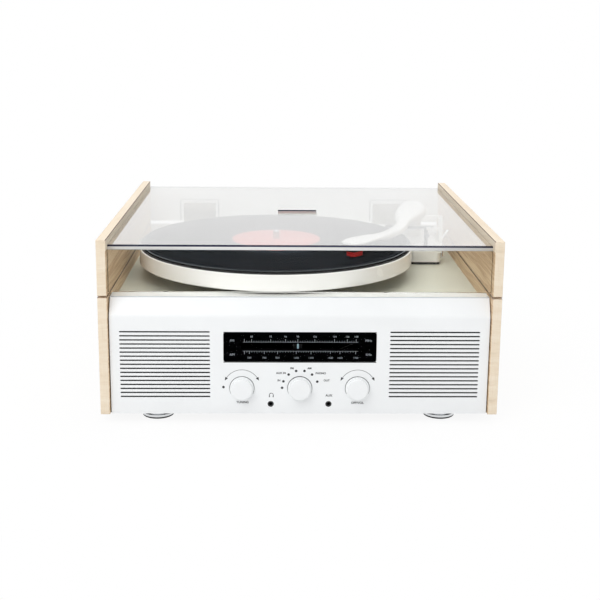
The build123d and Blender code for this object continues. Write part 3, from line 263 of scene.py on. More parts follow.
def wood():
    """Pale ash veneer: grain that runs front to back, wavy on the end faces, with painted shade on the
    inside.
    """
    graph = Graph("ash_wood")
    sway = graph.noise(graph.space(scale=SWAY_SCALE), 1.0, 2.0)
    lean = graph.add("CombineXYZ", {"Z": graph.math("MULTIPLY", sway, SWAY_REACH)}).outputs[0]
    wavy = graph.add("VectorMath", {0: graph.space(), 1: lean}, operation="ADD").outputs[0]
    pores, streaks = [graph.noise(graph.add("Mapping", {"Vector": wavy, "Scale": scale}).outputs[0],
                                  1.0, 4.0, roughness)
                      for scale, roughness in ((PORE_SCALE, 0.62), (STREAK_SCALE, 0.6))]
    across = graph.noise(graph.space(scale=END_GRAIN_SCALE), 1.0, 4.0, 0.6)
    broad = graph.noise(graph.space(scale=BROAD_SCALE), 1.0, 2.0)
    tone = graph.ramp(streaks, ((0.3, WOOD_LIGHT), (0.6, WOOD_MIDDLE), (0.7, shade(WOOD_MIDDLE, 0.88)),
                                (0.78, WOOD_LIGHT)))
    tone = graph.blend(graph.ramp(pores, ((0.54, BLACK), (0.76, grey(0.4)))), tone, WOOD_DARK)
    tone = graph.blend(graph.ramp(across, ((0.5, BLACK), (0.75, grey(0.3)))), tone, WOOD_DARK)
    tone = graph.blend(graph.between(broad, 0.0, 0.5), tone, WOOD_LIGHT)
    tone = inner_wood(graph, tone, streaks)
    height = graph.math("ADD", graph.math("MULTIPLY", pores, -1.0), graph.math("MULTIPLY", streaks, -0.3))
    return graph.close(graph.principled({
        "Base Color": tone, "Roughness": graph.between(pores, 0.42, 0.6),
        "Normal": graph.bump(height, 0.2, 0.12), "Coat Weight": 0.08, "Coat Roughness": 0.35}))


def inner_wood(graph, tone, streaks):
    """Painted shade on the inner faces below the clear sheet with deeper grain streaks there, and painted
    shade lines along the seam gaps and inner top corners.
    """
    parts = graph.apart()
    side = graph.math("ABSOLUTE", parts["X"])
    inside = graph.add("MapRange", {"Value": side, "From Min": INNER_FACE * MM,
                                    "From Max": (INNER_FACE + INNER_BLEND) * MM,
                                    "To Min": 1.0, "To Max": 0.0}).outputs[0]
    inside = graph.math("MULTIPLY", inside, graph.math("LESS_THAN", parts["Z"], EDGE_LOW * MM))
    # Painted shade on the inner faces
    tone = graph.blend(inside, tone, INNER_PAINTED_SHADE, "MULTIPLY")
    streak = graph.ramp(streaks, ((0.42, BLACK), (0.5, grey(0.75)), (0.58, BLACK)))
    tone = graph.blend(graph.math("MULTIPLY", streak, inside), tone, INNER_STREAK, "MULTIPLY")
    # Painted shade lines in the seam gaps and along the inner top corners
    seam = graph.math("MAXIMUM", *[graph.within(parts["Z"], line, SEAM_HALF) for line in SEAM_LINES])
    corner = graph.math("MULTIPLY", graph.math("LESS_THAN", side, (INNER_FACE + CORNER_BAND) * MM),
                        graph.math("GREATER_THAN", parts["Z"], TOP_CORNER * MM))
    return graph.blend(graph.math("MAXIMUM", seam, corner), tone, SEAM_PAINTED_SHADE)


HAZE_MM, RIPPLE_MM = 60.0, 6.0


def clear(name, colour, roughness, index=1.49, lamp_share=0.97, coat=0.0):
    """Clear plastic that lets a share of the lamps through to what is behind it."""
    graph = Graph(name)
    haze = graph.noise(graph.space(), 1 / (HAZE_MM * MM), 3.0)
    fine = graph.noise(graph.space(), 1 / (RIPPLE_MM * MM), 2.0)
    glass = graph.principled({
        "Base Color": colour, "Roughness": graph.between(haze, roughness, roughness * 2),
        "IOR": index, "Transmission Weight": 1.0, "Normal": graph.bump(fine, 0.01, 0.02),
        "Coat Weight": coat, "Coat IOR": 1.6, "Coat Roughness": 0.01})
    passing = graph.add("BsdfTransparent", {"Color": shade(colour, lamp_share)}).outputs[0]
    lamp_ray = graph.add("LightPath").outputs["Is Shadow Ray"]
    return graph.close(graph.add("MixShader", {0: lamp_ray, 1: glass, 2: passing}).outputs[0])


EDGE_LINE = (0.6, 0.68)
EDGE_HAZE_SCALE = (12, 60, 60)


def bent_edge():
    """Edge of the clear sheet, where the light gathers, in painted light: a painted dark line at the top
    and a painted pale highlight band below.
    """
    graph = Graph("lid_bent_edge")
    height = graph.apart(height=EDGE_LOW)["Z"]
    share = graph.math("DIVIDE", height, (EDGE_HIGH - EDGE_LOW) * MM)
    haze = graph.noise(graph.space(scale=EDGE_HAZE_SCALE), 1.0, 2.0)
    # Painted highlight: a pale band along the bend
    pale = graph.ramp(haze, ((0.35, tint(238, 238, 236)), (0.65, tint(252, 252, 251))))
    low, high = EDGE_LINE
    line = graph.add("MapRange", {"Value": share, "From Min": low, "From Max": high}).outputs[0]
    # Painted dark line of the light refracted in the bend, at its top
    tone = graph.blend(line, pale, tint(36, 38, 70))
    return graph.close(graph.principled({"Base Color": tone, "Roughness": 0.18, "IOR": 1.3,
                                         "Transmission Weight": 0.25}))


POINTER_X, POINTER_BACK = -2.1, 8.2
POINTER_HALF, POINTER_PATCH_MM = 0.9, 2.0


def pointer_finish():
    """Pale tip of the dial pointer on a carriage painted near black as shade behind the slot of the dial.
    """
    graph = Graph("pointer_pale_tip")
    parts = graph.apart(POINTER_X, POINTER_BACK)
    wide = graph.noise(graph.space(), 1 / (POINTER_PATCH_MM * MM), 2.0)
    pale = graph.ramp(wide, ((RAMP_LOW, tint(120, 148, 158)), (RAMP_HIGH, tint(150, 178, 186))))
    tip = graph.math("LESS_THAN", graph.math("ABSOLUTE", parts["X"]), POINTER_HALF * MM)
    tip = graph.math("MULTIPLY", tip, graph.math("LESS_THAN", parts["Y"], 0.0))
    # The carriage is painted near black as shade behind the slot
    tone = graph.blend(tip, tint(8, 8, 9), pale)
    return graph.close(graph.principled({"Base Color": tone, "Roughness": 0.4, "Specular IOR Level": 0.1}))


PLATTER = (-24.2, 173.6)
GROOVE_MM, BAND_MM = 0.55, 9.0
GAP_SHIFT, GAP_PITCH, GAP_WIDTH = 4.0, 9.2, 0.35
RUN_OUT_RADIUS = 64.0
BEAD_RADIUS, BEAD_HALF, BEAD_END = 149.4, 0.45, 0.6
VINYL_GLOSS = 0.012


def vinyl():
    """Pressed record: fine rings, wider gaps between the tracks and a gloss that follows them; its lighter
    rings, gaps and run-out are painted sheen, its bead a painted highlight.
    """
    graph = Graph("record_vinyl")
    flat = graph.space(origin=tuple(place(*PLATTER, 0)), scale=(1, 1, 0))
    radius = graph.add("VectorMath", {0: flat}, operation="LENGTH").outputs["Value"]
    line = graph.add("CombineXYZ", {"X": radius}).outputs[0]
    grooves = graph.noise(line, 1 / (GROOVE_MM * MM), 2.0, 0.7)
    bands = graph.noise(line, 1 / (BAND_MM * MM), 2.0, 0.5)
    swing = graph.math("PINGPONG", graph.math("ADD", radius, GAP_SHIFT * MM), GAP_PITCH * MM)
    gaps = graph.math("LESS_THAN", swing, GAP_WIDTH * MM)
    run_out = graph.math("LESS_THAN", radius, RUN_OUT_RADIUS * MM)
    bead_highlight = graph.within(radius, BEAD_RADIUS, BEAD_HALF)
    edge = graph.math("GREATER_THAN", radius, (BEAD_RADIUS + BEAD_END) * MM)
    # Near-black vinyl, lighter in rings of painted sheen
    tone = graph.ramp(bands, ((0.35, tint(8, 11, 14)), (0.65, tint(24, 29, 34))))
    # Painted sheen on the track gaps and the run-out, a painted highlight on the bead, and the outer edge
    # near black
    for mask, colour in ((gaps, tint(58, 64, 70)), (run_out, tint(40, 46, 52)),
                         (bead_highlight, tint(136, 142, 147)), (edge, tint(5, 6, 8))):
        tone = graph.blend(mask, tone, colour)
    height = graph.math("ADD", grooves, graph.math("MULTIPLY", gaps, -0.8))
    normal = graph.bump(height, 0.35, 0.03)
    matt = graph.principled({"Base Color": tone, "Roughness": 0.5, "Specular IOR Level": 0.0,
                             "Normal": normal})
    gloss = graph.add("BsdfAnisotropic", {"Roughness": graph.between(grooves, 0.16, 0.42),
                                          "Normal": normal}).outputs[0]
    return graph.close(graph.add("MixShader", {0: VINYL_GLOSS, 1: matt, 2: gloss}).outputs[0])


def cloth(name, colour, thread_mm):
    """Plain weave."""
    graph = Graph(name)
    space = graph.space()
    waves = []
    for direction in ("X", "Z"):
        wave = graph.add("TexWave", {"Vector": space, "Scale": math.pi / (10 * thread_mm * MM)},
                         wave_type="BANDS", bands_direction=direction)
        waves.append(wave.outputs["Fac"])
    weave = graph.math("MULTIPLY", *waves)
    tone = graph.ramp(weave, ((0.2, shade(colour, 0.45)), (0.8, colour)))
    return graph.close(graph.principled({"Base Color": tone, "Roughness": 0.9, "Sheen Weight": 0.15,
                                         "Normal": graph.bump(weave, 0.6, 0.2)}))


FIBRE_MM = 0.7


def paper(name, colour):
    """Coated paper with a faint fibre."""
    graph = Graph(name)
    fibre, tone = graph.mottle(colour, FIBRE_MM, 0.9, 4.0, 0.7)
    return graph.close(graph.principled({"Base Color": tone, "Roughness": graph.between(fibre, 0.35, 0.5),
                                         "Normal": graph.bump(fibre, 0.15, 0.03)}))


COAT_PATCH_MM, DIMPLE_MM = 60.0, 1.1


def coated_metal(name, colour):
    """Cast metal under a smooth pale coat."""
    graph = Graph(name)
    wide, tone = graph.mottle(colour, COAT_PATCH_MM, 0.97)
    dimples = graph.noise(graph.space(), 1 / (DIMPLE_MM * MM), 2.0)
    return graph.close(graph.principled({
        "Base Color": tone, "Roughness": graph.between(wide, 0.22, 0.3), "Coat Weight": 0.35,
        "Coat Roughness": 0.1, "Normal": graph.bump(dimples, 0.04, 0.05)}))


TRACK_SCALE = (160, 160, 160)


def circuit():
    """Green board with copper tracks under its mask."""
    graph = Graph("circuit_green")
    tracks = graph.add("TexBrick", {"Vector": graph.space(scale=TRACK_SCALE), "Scale": 1.0,
                                    "Color1": tint(24, 92, 54), "Color2": tint(30, 104, 62),
                                    "Mortar": tint(58, 132, 84), "Mortar Size": 0.06})
    return graph.close(graph.principled({"Base Color": tracks.outputs["Color"], "Roughness": 0.4}))


CLEAR_COLOUR = (0.985, 0.99, 0.985, 1.0)
LID_LAMP_SHARE = 0.78
WINDOW_COLOUR = (0.9, 0.91, 0.92, 1.0)
# Parts seen through the slot of the dial, given black plastic as painted shade of the inside of the
# cabinet
SHADED_BEHIND_DIAL = ("pointer_rail", "dial_cord", "control_bracket")

materials = {
    "wood": wood(),
    "white_plastic": plastic("satin_white_plastic", tint(246, 248, 249), 0.38, coat=0.1),
    "deck_plastic": plastic("deck_beige_plastic", tint(206, 206, 191), 0.42),
    "cream_metal": coated_metal("platter_cream_coat", tint(243, 242, 238)),
    "arm_plastic": plastic("arm_ivory_plastic", tint(237, 237, 233), 0.3, coat=0.25),
    "black_plastic": plastic("black_moulding", tint(30, 31, 33), 0.4),
    "red_plastic": plastic("stylus_red_plastic", tint(190, 32, 28), 0.3, coat=0.2),
    "clear_plastic": clear("lid_clear_plastic", CLEAR_COLOUR, 0.01, lamp_share=LID_LAMP_SHARE, coat=1.0),
    "smoked_plastic": clear("dial_window_plastic", WINDOW_COLOUR, 0.0, index=1.03),
    "scale_black": plastic("scale_black_paint", tint(4, 4, 5), 0.5, gloss=0.0),
    "pointer_plastic": pointer_finish(),
    "vinyl": vinyl(),
    "label_paper": paper("label_red_paper", tint(204, 78, 62)),
    "rubber": plastic("black_rubber", tint(26, 26, 27), 0.7, grain_mm=0.3, grain=0.2),
    "cord": plastic("cord_fibre", tint(60, 58, 55), 0.8, grain_mm=0.3, grain=0.4),
    "cloth": cloth("grille_dark_cloth", tint(15, 17, 21), 0.7),
    "cone_paper": paper("cone_dark_paper", tint(40, 40, 42)),
    "steel": metal("zinc_steel", tint(190, 192, 195), 0.32),
    "chrome": metal("foot_chrome", tint(226, 228, 230), 0.08, grain=0.02),
    "brass": metal("turned_brass", tint(212, 175, 98), 0.25),
    "plated": metal("nickel_plate", tint(214, 212, 204), 0.18),
    "board": circuit(),
}
print_grey = plastic("print_light_grey", tint(146, 152, 158), 0.5)
print_dark = plastic("print_dark_grey", tint(20, 22, 26), 0.5)
# Grey of the frames round the hinge plates, a painted shadow round the plates
painted_rim_shadow = plastic("hinge_rim_grey", tint(158, 162, 163), 0.5)
fascia_white = fascia_finish()
front_clear = clear("lid_front_clear_plastic", CLEAR_COLOUR, 0.01, index=1.15,
                    lamp_share=LID_LAMP_SHARE)
# Painted shadow for the gap round the foot of each knob
painted_knob_shadow = plastic("knob_ring_shadow_grey", tint(26, 28, 32), 0.5)


def polar(x, height, radius, angle_deg):
    """Point at a radius and an angle from a middle, counted anticlockwise from the right."""
    angle = math.radians(angle_deg)
    return x + radius * math.cos(angle), height + radius * math.sin(angle)


def circle(x, height, radius, sides):
    """Corners of a regular polygon round a middle."""
    return [polar(x, height, radius, 360 * index / sides) for index in range(sides)]


def mesh_of(draft, name):
    """Mesh that takes over a draft."""
    mesh = bpy.data.meshes.new(name)
    draft.to_mesh(mesh)
    draft.free()
    return mesh


def in_scene(name, data):
    """New object of the scene that holds some data."""
    holder = bpy.data.objects.new(name, data)
    bpy.context.scene.collection.objects.link(holder)
    return holder


def settle(name, mesh, material, body):
    """Make an object of a mesh, and let it ride on its body."""
    piece = in_scene(name, mesh)
    mesh.materials.append(material)
    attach(piece, body)
    return piece


def cabinet_box(node):
    """Lowest and highest corners of a node in cabinet millimetres."""
    corners = []
    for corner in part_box(node):
        point = Vector(corner) / MM
        corners.append((point.x, point.y + MIDDLE_DEPTH, point.z - FOOT_HEIGHT))
    return corners


def swept(draft, loop, columns, skip):
    """Cells between neighbouring points of a closed (depth, height) loop, for each pair of columns."""
    points = {}

    def vertex(x, index):
        if (x, index) not in points:
            points[(x, index)] = draft.verts.new(place(x, *loop[index]))
        return points[(x, index)]

    for left, right in zip(columns, columns[1:]):
        for index in range(len(loop)):
            following = (index + 1) % len(loop)
            if not skip(left, right, loop[index], loop[following]):
                draft.faces.new([vertex(left, index), vertex(right, index), vertex(right, following),
                                 vertex(left, following)])
    return vertex


BEND_RADIUS, BEND_STEPS = 4.0, 10
HAND_HOLE_X = 22.2
HAND_HOLE_DEPTH = (182.0, 212.0)
# Share of a normal from which a face counts as leaning, and from which as square to the front
LEANING, SQUARE_ON = 0.01, 0.9
WALL_SLACK = 0.01


def lid_outline(rear, top, front, bend_depth, low):
    """One side of the bent sheet as (depth, height) points, from its rear end to its low end."""
    hole_front, hole_rear = HAND_HOLE_DEPTH
    radius = bend_depth - front
    bend = [polar(bend_depth, top - radius, radius, 90 + 90 * step / BEND_STEPS)
            for step in range(BEND_STEPS + 1)]
    return [(rear, top), (hole_rear, top), (hole_front, top), *bend, (front, low)]


def in_hole(x_left, x_right, first, second):
    """Whether a cell of the sheet lies where the hand hole is."""
    across = abs(x_left + x_right) / 2 < HAND_HOLE_X
    return across and {first[0], second[0]} == set(HAND_HOLE_DEPTH)


def lid_draft():
    """Bent sheet with its end faces and the walls of its hole, and the depth where its bend starts."""
    (left, _, top_low), (right, rear, top_high) = cabinet_box("lid_top_panel")
    (_, outer_y, low), (_, inner_y, _) = cabinet_box("lid_front_panel")
    bend_depth = outer_y + BEND_RADIUS
    outer = lid_outline(rear, top_high, outer_y, bend_depth, low)
    inner = lid_outline(rear, top_low, inner_y, bend_depth, low)
    draft = bmesh.new()
    vertex = swept(draft, outer + inner[::-1], [left, -HAND_HOLE_X, HAND_HOLE_X, right], in_hole)
    last = 2 * len(outer) - 1
    for x in (left, right):
        for index in range(len(outer) - 1):
            draft.faces.new([vertex(x, item)
                             for item in (index, index + 1, last - 1 - index, last - index)])
    for x in (-HAND_HOLE_X, HAND_HOLE_X):
        draft.faces.new([vertex(x, item) for item in (1, 2, last - 2, last - 1)])
    for index in (1, 2):
        draft.faces.new([vertex(-HAND_HOLE_X, index), vertex(HAND_HOLE_X, index),
                         vertex(HAND_HOLE_X, last - index), vertex(-HAND_HOLE_X, last - index)])
    bmesh.ops.recalc_face_normals(draft, faces=draft.faces)
    return draft, bend_depth


def lid_shell():
    """Clear lid: top and front bent from one sheet, with the hand hole in the top."""
    draft, bend_depth = lid_draft()
    bend_start, hole_end = (place(0, depth, 0).y for depth in (bend_depth, HAND_HOLE_DEPTH[1]))
    for face in draft.faces:
        face.smooth = abs(face.normal.y) > LEANING and abs(face.normal.z) > LEANING
        middle = face.calc_center_median()
        bent = face.smooth and middle.y < bend_start
        hole_wall = abs(middle.y - hole_end) < WALL_SLACK * MM and abs(face.normal.y) > SQUARE_ON
        face.material_index = 2 if bent or hole_wall else int(middle.y < bend_start)
    mesh = mesh_of(draft, "lid_clear_shell")
    shell = settle("lid_clear_shell", mesh, materials["clear_plastic"], "lid")
    mesh.materials.append(front_clear)
    mesh.materials.append(bent_edge())
    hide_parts("lid_top_panel", "lid_front_panel")


# Sections of the tonearm from its head to its tail: left edge, right edge, lowest and highest height
ARM_SECTIONS = (
    ((47.0, 88.5), (53.0, 82.5), 154.4, 156.9),
    ((45.5, 94.0), (59.5, 81.5), 153.6, 157.3),
    ((49.5, 104.0), (68.5, 87.0), 153.5, 157.5),
    ((60.5, 117.5), (79.5, 100.5), 153.5, 157.6),
    ((74.5, 128.0), (89.0, 115.0), 152.5, 157.6),
    ((86.5, 138.0), (98.5, 130.0), 149.6, 157.2),
    ((95.5, 154.0), (107.5, 147.5), 148.0, 156.7),
    ((105.0, 174.0), (118.5, 168.5), 148.0, 156.5),
    ((114.8, 200.5), (128.0, 196.5), 148.0, 156.6),
    ((118.6, 220.0), (132.4, 216.5), 148.0, 156.8),
    ((119.2, 244.0), (142.5, 240.0), 147.2, 158.4),
    ((120.8, 266.0), (153.5, 264.0), 145.0, 160.0),
    ((126.5, 295.0), (162.5, 293.0), 145.0, 160.6),
    ((131.5, 312.0), (164.2, 313.0), 145.0, 160.6),
    ((136.0, 328.0), (163.8, 330.0), 145.4, 160.4),
    ((139.5, 338.0), (161.5, 339.5), 146.2, 159.4),
)
ARM_STEPS, ARM_RING = 5, 32
ARM_SQUARENESS = 3.0
ARM_CAVITY = ((150, 272), (157, 295), (158.6, 325), (153, 335.5), (146, 334.5), (136.6, 306), (131, 276))
ARM_CAVITY_HEIGHTS = (140.0, 156.8)


def eased(sections, steps):
    """Rows of numbers along a smooth curve through the given rows."""
    rows = []
    for index in range(len(sections) - 1):
        before = sections[max(index - 1, 0)]
        start, end = sections[index], sections[index + 1]
        after = sections[min(index + 2, len(sections) - 1)]
        for step in range(steps):
            t = step / steps
            rows.append([0.5 * (2 * b + (c - a) * t + (2 * a - 5 * b + 4 * c - d) * t * t
                                + (3 * b - a - 3 * c + d) * t ** 3)
                         for a, b, c, d in zip(before, start, end, after)])
    rows.append(list(sections[-1]))
    return rows


def capped_loft(name, rings):
    """Closed mesh over rings of points, one face for each end."""
    draft = bmesh.new()
    loops = [[draft.verts.new(place(*point)) for point in ring] for ring in rings]
    for first, second in zip(loops, loops[1:]):
        for index in range(len(first)):
            following = (index + 1) % len(first)
            face = draft.faces.new([first[index], second[index], second[following], first[following]])
            face.smooth = len(rings) > 2
    for loop in (loops[0], loops[-1]):
        draft.faces.new(loop)
    bmesh.ops.recalc_face_normals(draft, faces=draft.faces)
    return mesh_of(draft, name)


def arm_ring(left_x, left_y, right_x, right_y, low, high):
    """Points round one section of the tonearm, a rectangle with well rounded corners."""
    ring = []
    for index in range(ARM_RING):
        angle = 2 * math.pi * (index + 0.5) / ARM_RING
        across, up = (math.copysign(abs(value) ** (2 / ARM_SQUARENESS), value)
                      for value in (math.cos(angle), math.sin(angle)))
        share = (1 + across) / 2
        ring.append((left_x + (right_x - left_x) * share, left_y + (right_y - left_y) * share,
                     low + (high - low) * (1 + up) / 2))
    return ring


def arm_moulding():
    """Tonearm in one smooth moulding from head to tail, hollow below over its turret."""
    flat = [[*left, *right, low, high] for left, right, low, high in ARM_SECTIONS]
    outside = capped_loft("arm_moulding", [arm_ring(*row) for row in eased(flat, ARM_STEPS)])
    cavity = capped_loft("arm_cavity", [[(x, depth, height) for x, depth in ARM_CAVITY]
                                        for height in ARM_CAVITY_HEIGHTS])
    whole, cutter = (in_scene("arm_draft", item) for item in (outside, cavity))
    cut = whole.modifiers.new("hollow", "BOOLEAN")
    cut.operation = "DIFFERENCE"
    cut.solver = "EXACT"
    cut.object = cutter
    hollowed = bpy.data.meshes.new_from_object(whole.evaluated_get(bpy.context.evaluated_depsgraph_get()))
    for item in (whole, cutter):
        bpy.data.objects.remove(item)
    for item in (outside, cavity):
        bpy.data.meshes.remove(item)
    hollowed.name = "arm_moulding"
    moulding = settle("arm_moulding", hollowed, materials["arm_plastic"], "tonearm")
    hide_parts("arm_tube", "headshell", "arm_housing")


def turned(name, x, depth, profile, sides):
    """Mesh turned round an upright axis; its profile lists radii and heights."""
    return capped_loft(name, [[(*point, height) for point in circle(x, depth, radius, sides)]
                              for radius, height in profile])


FOOT_X = 145.0
FOOT_DEPTHS = (28.0, 357.0)
SLEEVE_PROFILE = ((16.1, -7.8), (16.35, -7.5), (16.35, -5.5), (16.1, -5.2))
SLEEVE_SIDES = 64


def foot_sleeves():
    """Bright sleeve round the upper part of each rubber foot."""
    draft = bmesh.new()
    for x in (-FOOT_X, FOOT_X):
        for depth in FOOT_DEPTHS:
            sleeve = turned("sleeve", x, depth, SLEEVE_PROFILE, SLEEVE_SIDES)
            draft.from_mesh(sleeve)
            bpy.data.meshes.remove(sleeve)
    settle("foot_sleeves", mesh_of(draft, "foot_sleeves"), materials["chrome"], "case")


SCREW_PLACE = (62.5, 106.5)
SCREW_PROFILE = ((1.5, 157.0), (1.5, 157.75), (1.1, 157.9))
SCREW_SIDES = 20


def headshell_screw():
    """Small screw sunk in the top of the tonearm's head."""
    screw = turned("headshell_screw", *SCREW_PLACE, SCREW_PROFILE, SCREW_SIDES)
    settle("headshell_screw", screw, materials["steel"], "tonearm")


# Dark card that stands for the shade behind the slot of the dial
CARD_WIDTH, CARD_THICKNESS, CARD_DEPTH = 132.0, 0.6, 24.0
CARD_LOW, CARD_HIGH = 48.0, 80.0


def dial_card():
    """Dark card behind the slot of the dial, a painted shade of the inside of the cabinet, so that the
    works don't show through it.
    """
    draft = bmesh.new()
    bmesh.ops.create_cube(draft, size=1.0)
    size = Vector((CARD_WIDTH, CARD_THICKNESS, CARD_HIGH - CARD_LOW)) * MM
    middle = place(0, CARD_DEPTH, (CARD_LOW + CARD_HIGH) / 2)
    stretch = Matrix.Translation(middle) @ Matrix.Diagonal((*size, 1.0))
    bmesh.ops.transform(draft, matrix=stretch, verts=draft.verts)
    settle("dial_card", mesh_of(draft, "dial_card"), materials["scale_black"], "case")


def dress_frame():
    """Give each carried-over node the finish of its material slot, but black plastic as painted shade to
    the parts behind the dial, and the fascia its white with painted shade.
    """
    slot_of = {part["node"]: part["material_slot"] for part in frame["record"]["subparts"]}
    for name, piece in frame["nodes"].items():
        # Parts behind the dial get black plastic as painted shade
        finish = materials["black_plastic" if name in SHADED_BEHIND_DIAL else slot_of[name]]
        for index in range(len(piece.material_slots)):
            piece.material_slots[index].material = fascia_white if name == "front_fascia" else finish


SOFT_NODES = ("side_boards", "lid_side_boards")
SOFT_WIDTH, SOFT_SEGMENTS, SOFT_ANGLE = 0.5, 2, 35
WELD_GAP = 0.001


def soften(name):
    """Round the sharp edges of a carried-over node a little."""
    piece = frame["nodes"][name]
    weld = piece.modifiers.new("weld", "WELD")
    weld.merge_threshold = WELD_GAP * MM
    bevel = piece.modifiers.new("soft_edges", "BEVEL")
    bevel.width = SOFT_WIDTH * MM
    bevel.segments = SOFT_SEGMENTS
    bevel.limit_method = "ANGLE"
    bevel.angle_limit = math.radians(SOFT_ANGLE)
    normals = piece.modifiers.new("normals", "WEIGHTED_NORMAL")
    normals.keep_sharp = False


DOT_SIDES = 16
CAPITAL_SHARE = 0.7
MERGE_GAP = 0.002


class Marks:
    """Thin printed marks on one upright face that looks to the front, in cabinet millimetres."""

    def __init__(self, depth):
        self.depth = depth
        self.draft = bmesh.new()

    def face(self, points):
        self.draft.faces.new([self.draft.verts.new(place(x, self.depth, height)) for x, height in points])

    def dot(self, x, height, radius):
        self.face(circle(x, height, radius, DOT_SIDES))

    def bar(self, x, height, width, tall):
        self.face([(x - width / 2, height - tall / 2), (x + width / 2, height - tall / 2),
                   (x + width / 2, height + tall / 2), (x - width / 2, height + tall / 2)])

    def arc(self, x, height, radius, start_deg, end_deg, width, steps=28):
        """Curved line from one angle to another, counted anticlockwise from the right."""
        ring = []
        for index in range(steps + 1):
            angle_deg = start_deg + (end_deg - start_deg) * index / steps
            ring.append([polar(x, height, edge, angle_deg)
                         for edge in (radius - width / 2, radius + width / 2)])
        for (a, b), (c, d) in zip(ring, ring[1:]):
            self.face([a, b, d, c])

    def text(self, words, x, height, capital_mm, weight=0.0):
        curve = bpy.data.curves.new("lettering", "FONT")
        curve.body = words
        curve.align_x = "CENTER"
        curve.align_y = "CENTER"
        curve.size = capital_mm / CAPITAL_SHARE
        curve.offset = weight
        holder = in_scene("lettering", curve)
        shaped = holder.evaluated_get(bpy.context.evaluated_depsgraph_get())
        flat = bpy.data.meshes.new_from_object(shaped)
        for polygon in flat.polygons:
            points = [flat.vertices[index].co for index in polygon.vertices]
            self.face([(x + point.x, height + point.y) for point in points])
        bpy.data.objects.remove(holder)
        bpy.data.meshes.remove(flat)
        bpy.data.curves.remove(curve)

    def finish(self, name, material, body="case", slot="white_plastic", thickness=PRINT_THICKNESS):
        """Give the marks their thickness, and make a piece of them."""
        bmesh.ops.remove_doubles(self.draft, verts=self.draft.verts, dist=MERGE_GAP * MM)
        raised = bmesh.ops.extrude_face_region(self.draft, geom=list(self.draft.faces))["geom"]
        verts = [item for item in raised if isinstance(item, bmesh.types.BMVert)]
        bmesh.ops.translate(self.draft, verts=verts, vec=(0, -thickness * MM, 0))
        bmesh.ops.recalc_face_normals(self.draft, faces=self.draft.faces)
        settle(name, mesh_of(self.draft, name), material, body)


RING_RADIUS, RING_WIDTH, RING_STEPS = 12.1, 1.0, 48
RING_START, RING_END = -28, 208


def knob_rings():
    """Painted shadow in the gap round the foot of each knob, as a dark arc over its top and sides."""
    for knob, x, height in (("tuning", -KNOB_SPACING, KNOB_HEIGHT), ("selector", 0.0, SELECTOR_HEIGHT),
                            ("volume", KNOB_SPACING, KNOB_HEIGHT)):
        marks = Marks(FASCIA_FRONT)
        marks.arc(x, height, RING_RADIUS, RING_START, RING_END, RING_WIDTH, RING_STEPS)
        marks.finish(f"{knob}_knob_ring", painted_knob_shadow)


BORDER = 1.7
SURROUND_TOP, SURROUND_LOW = 0.6, 1.0
CORNER_STEPS = 6
# Angle at which the rounding of each corner starts, by its side and by whether it is up or down
CORNER_STARTS = {(1, 1): 0, (-1, 1): 90, (-1, -1): 180, (1, -1): 270}


def dial_border():
    """Black printed frame round the edge of the dial window, and a black line over and under it."""
    marks = Marks(LENS_FRONT)
    width, tall = LENS_SIZE
    for side in (-1, 1):
        marks.bar(0, LENS_HEIGHT + side * (tall - BORDER) / 2, width - 2 * BORDER, BORDER)
        marks.bar(side * (width - BORDER) / 2, LENS_HEIGHT, BORDER, tall - 2 * BORDER)
        for up in (-1, 1):
            corner = (side * (width / 2 - BORDER), LENS_HEIGHT + up * (tall / 2 - BORDER))
            rounding = [polar(*corner, BORDER, CORNER_STARTS[(side, up)] + 90 * step / CORNER_STEPS)
                        for step in range(CORNER_STEPS + 1)]
            marks.face([corner, *rounding])
    marks.finish("dial_border_print", materials["scale_black"], slot="scale_black")
    surround = Marks(FASCIA_FRONT)
    surround.bar(0, LENS_HEIGHT + (tall + SURROUND_TOP) / 2, width, SURROUND_TOP)
    surround.bar(0, LENS_HEIGHT - (tall + SURROUND_LOW) / 2, width, SURROUND_LOW)
    surround.finish("dial_surround_print", materials["scale_black"], slot="scale_black")


HINGE_X = 125.0
RIM_HALF, RIM_LOW, RIM_TOP, RIM_CORNER = 25.8, 0.4, 29.6, 4.0
RIM_SHRINK, RIM_THICKNESS = 0.94, 0.6


def hinge_pocket_rims():
    """Raised moulded frame round each hinge plate inside the lid, grey as painted shadow round the plate.
    """
    _, front, low = cabinet_box("lid_rear_panel")[0]
    for name, x in (("left", -HINGE_X), ("right", HINGE_X)):
        side, shoulder = x - RIM_HALF, low + RIM_TOP - RIM_CORNER
        path = [(side, low + RIM_LOW), (side, shoulder)]
        path += [polar(side + RIM_CORNER, shoulder, RIM_CORNER, 180 - 90 * step / CORNER_STEPS)
                 for step in range(1, CORNER_STEPS + 1)]
        path += [(2 * x - px, pz) for px, pz in reversed(path)]
        middle_z = low + RIM_TOP / 2
        inner = [(x + (px - x) * RIM_SHRINK, middle_z + (pz - middle_z) * RIM_SHRINK) for px, pz in path]
        marks = Marks(front)
        for first, second, inner_first, inner_second in zip(path, path[1:], inner, inner[1:]):
            marks.face([first, inner_first, inner_second, second])
        marks.finish(f"hinge_pocket_rim_{name}", painted_rim_shadow, body="lid", thickness=RIM_THICKNESS)


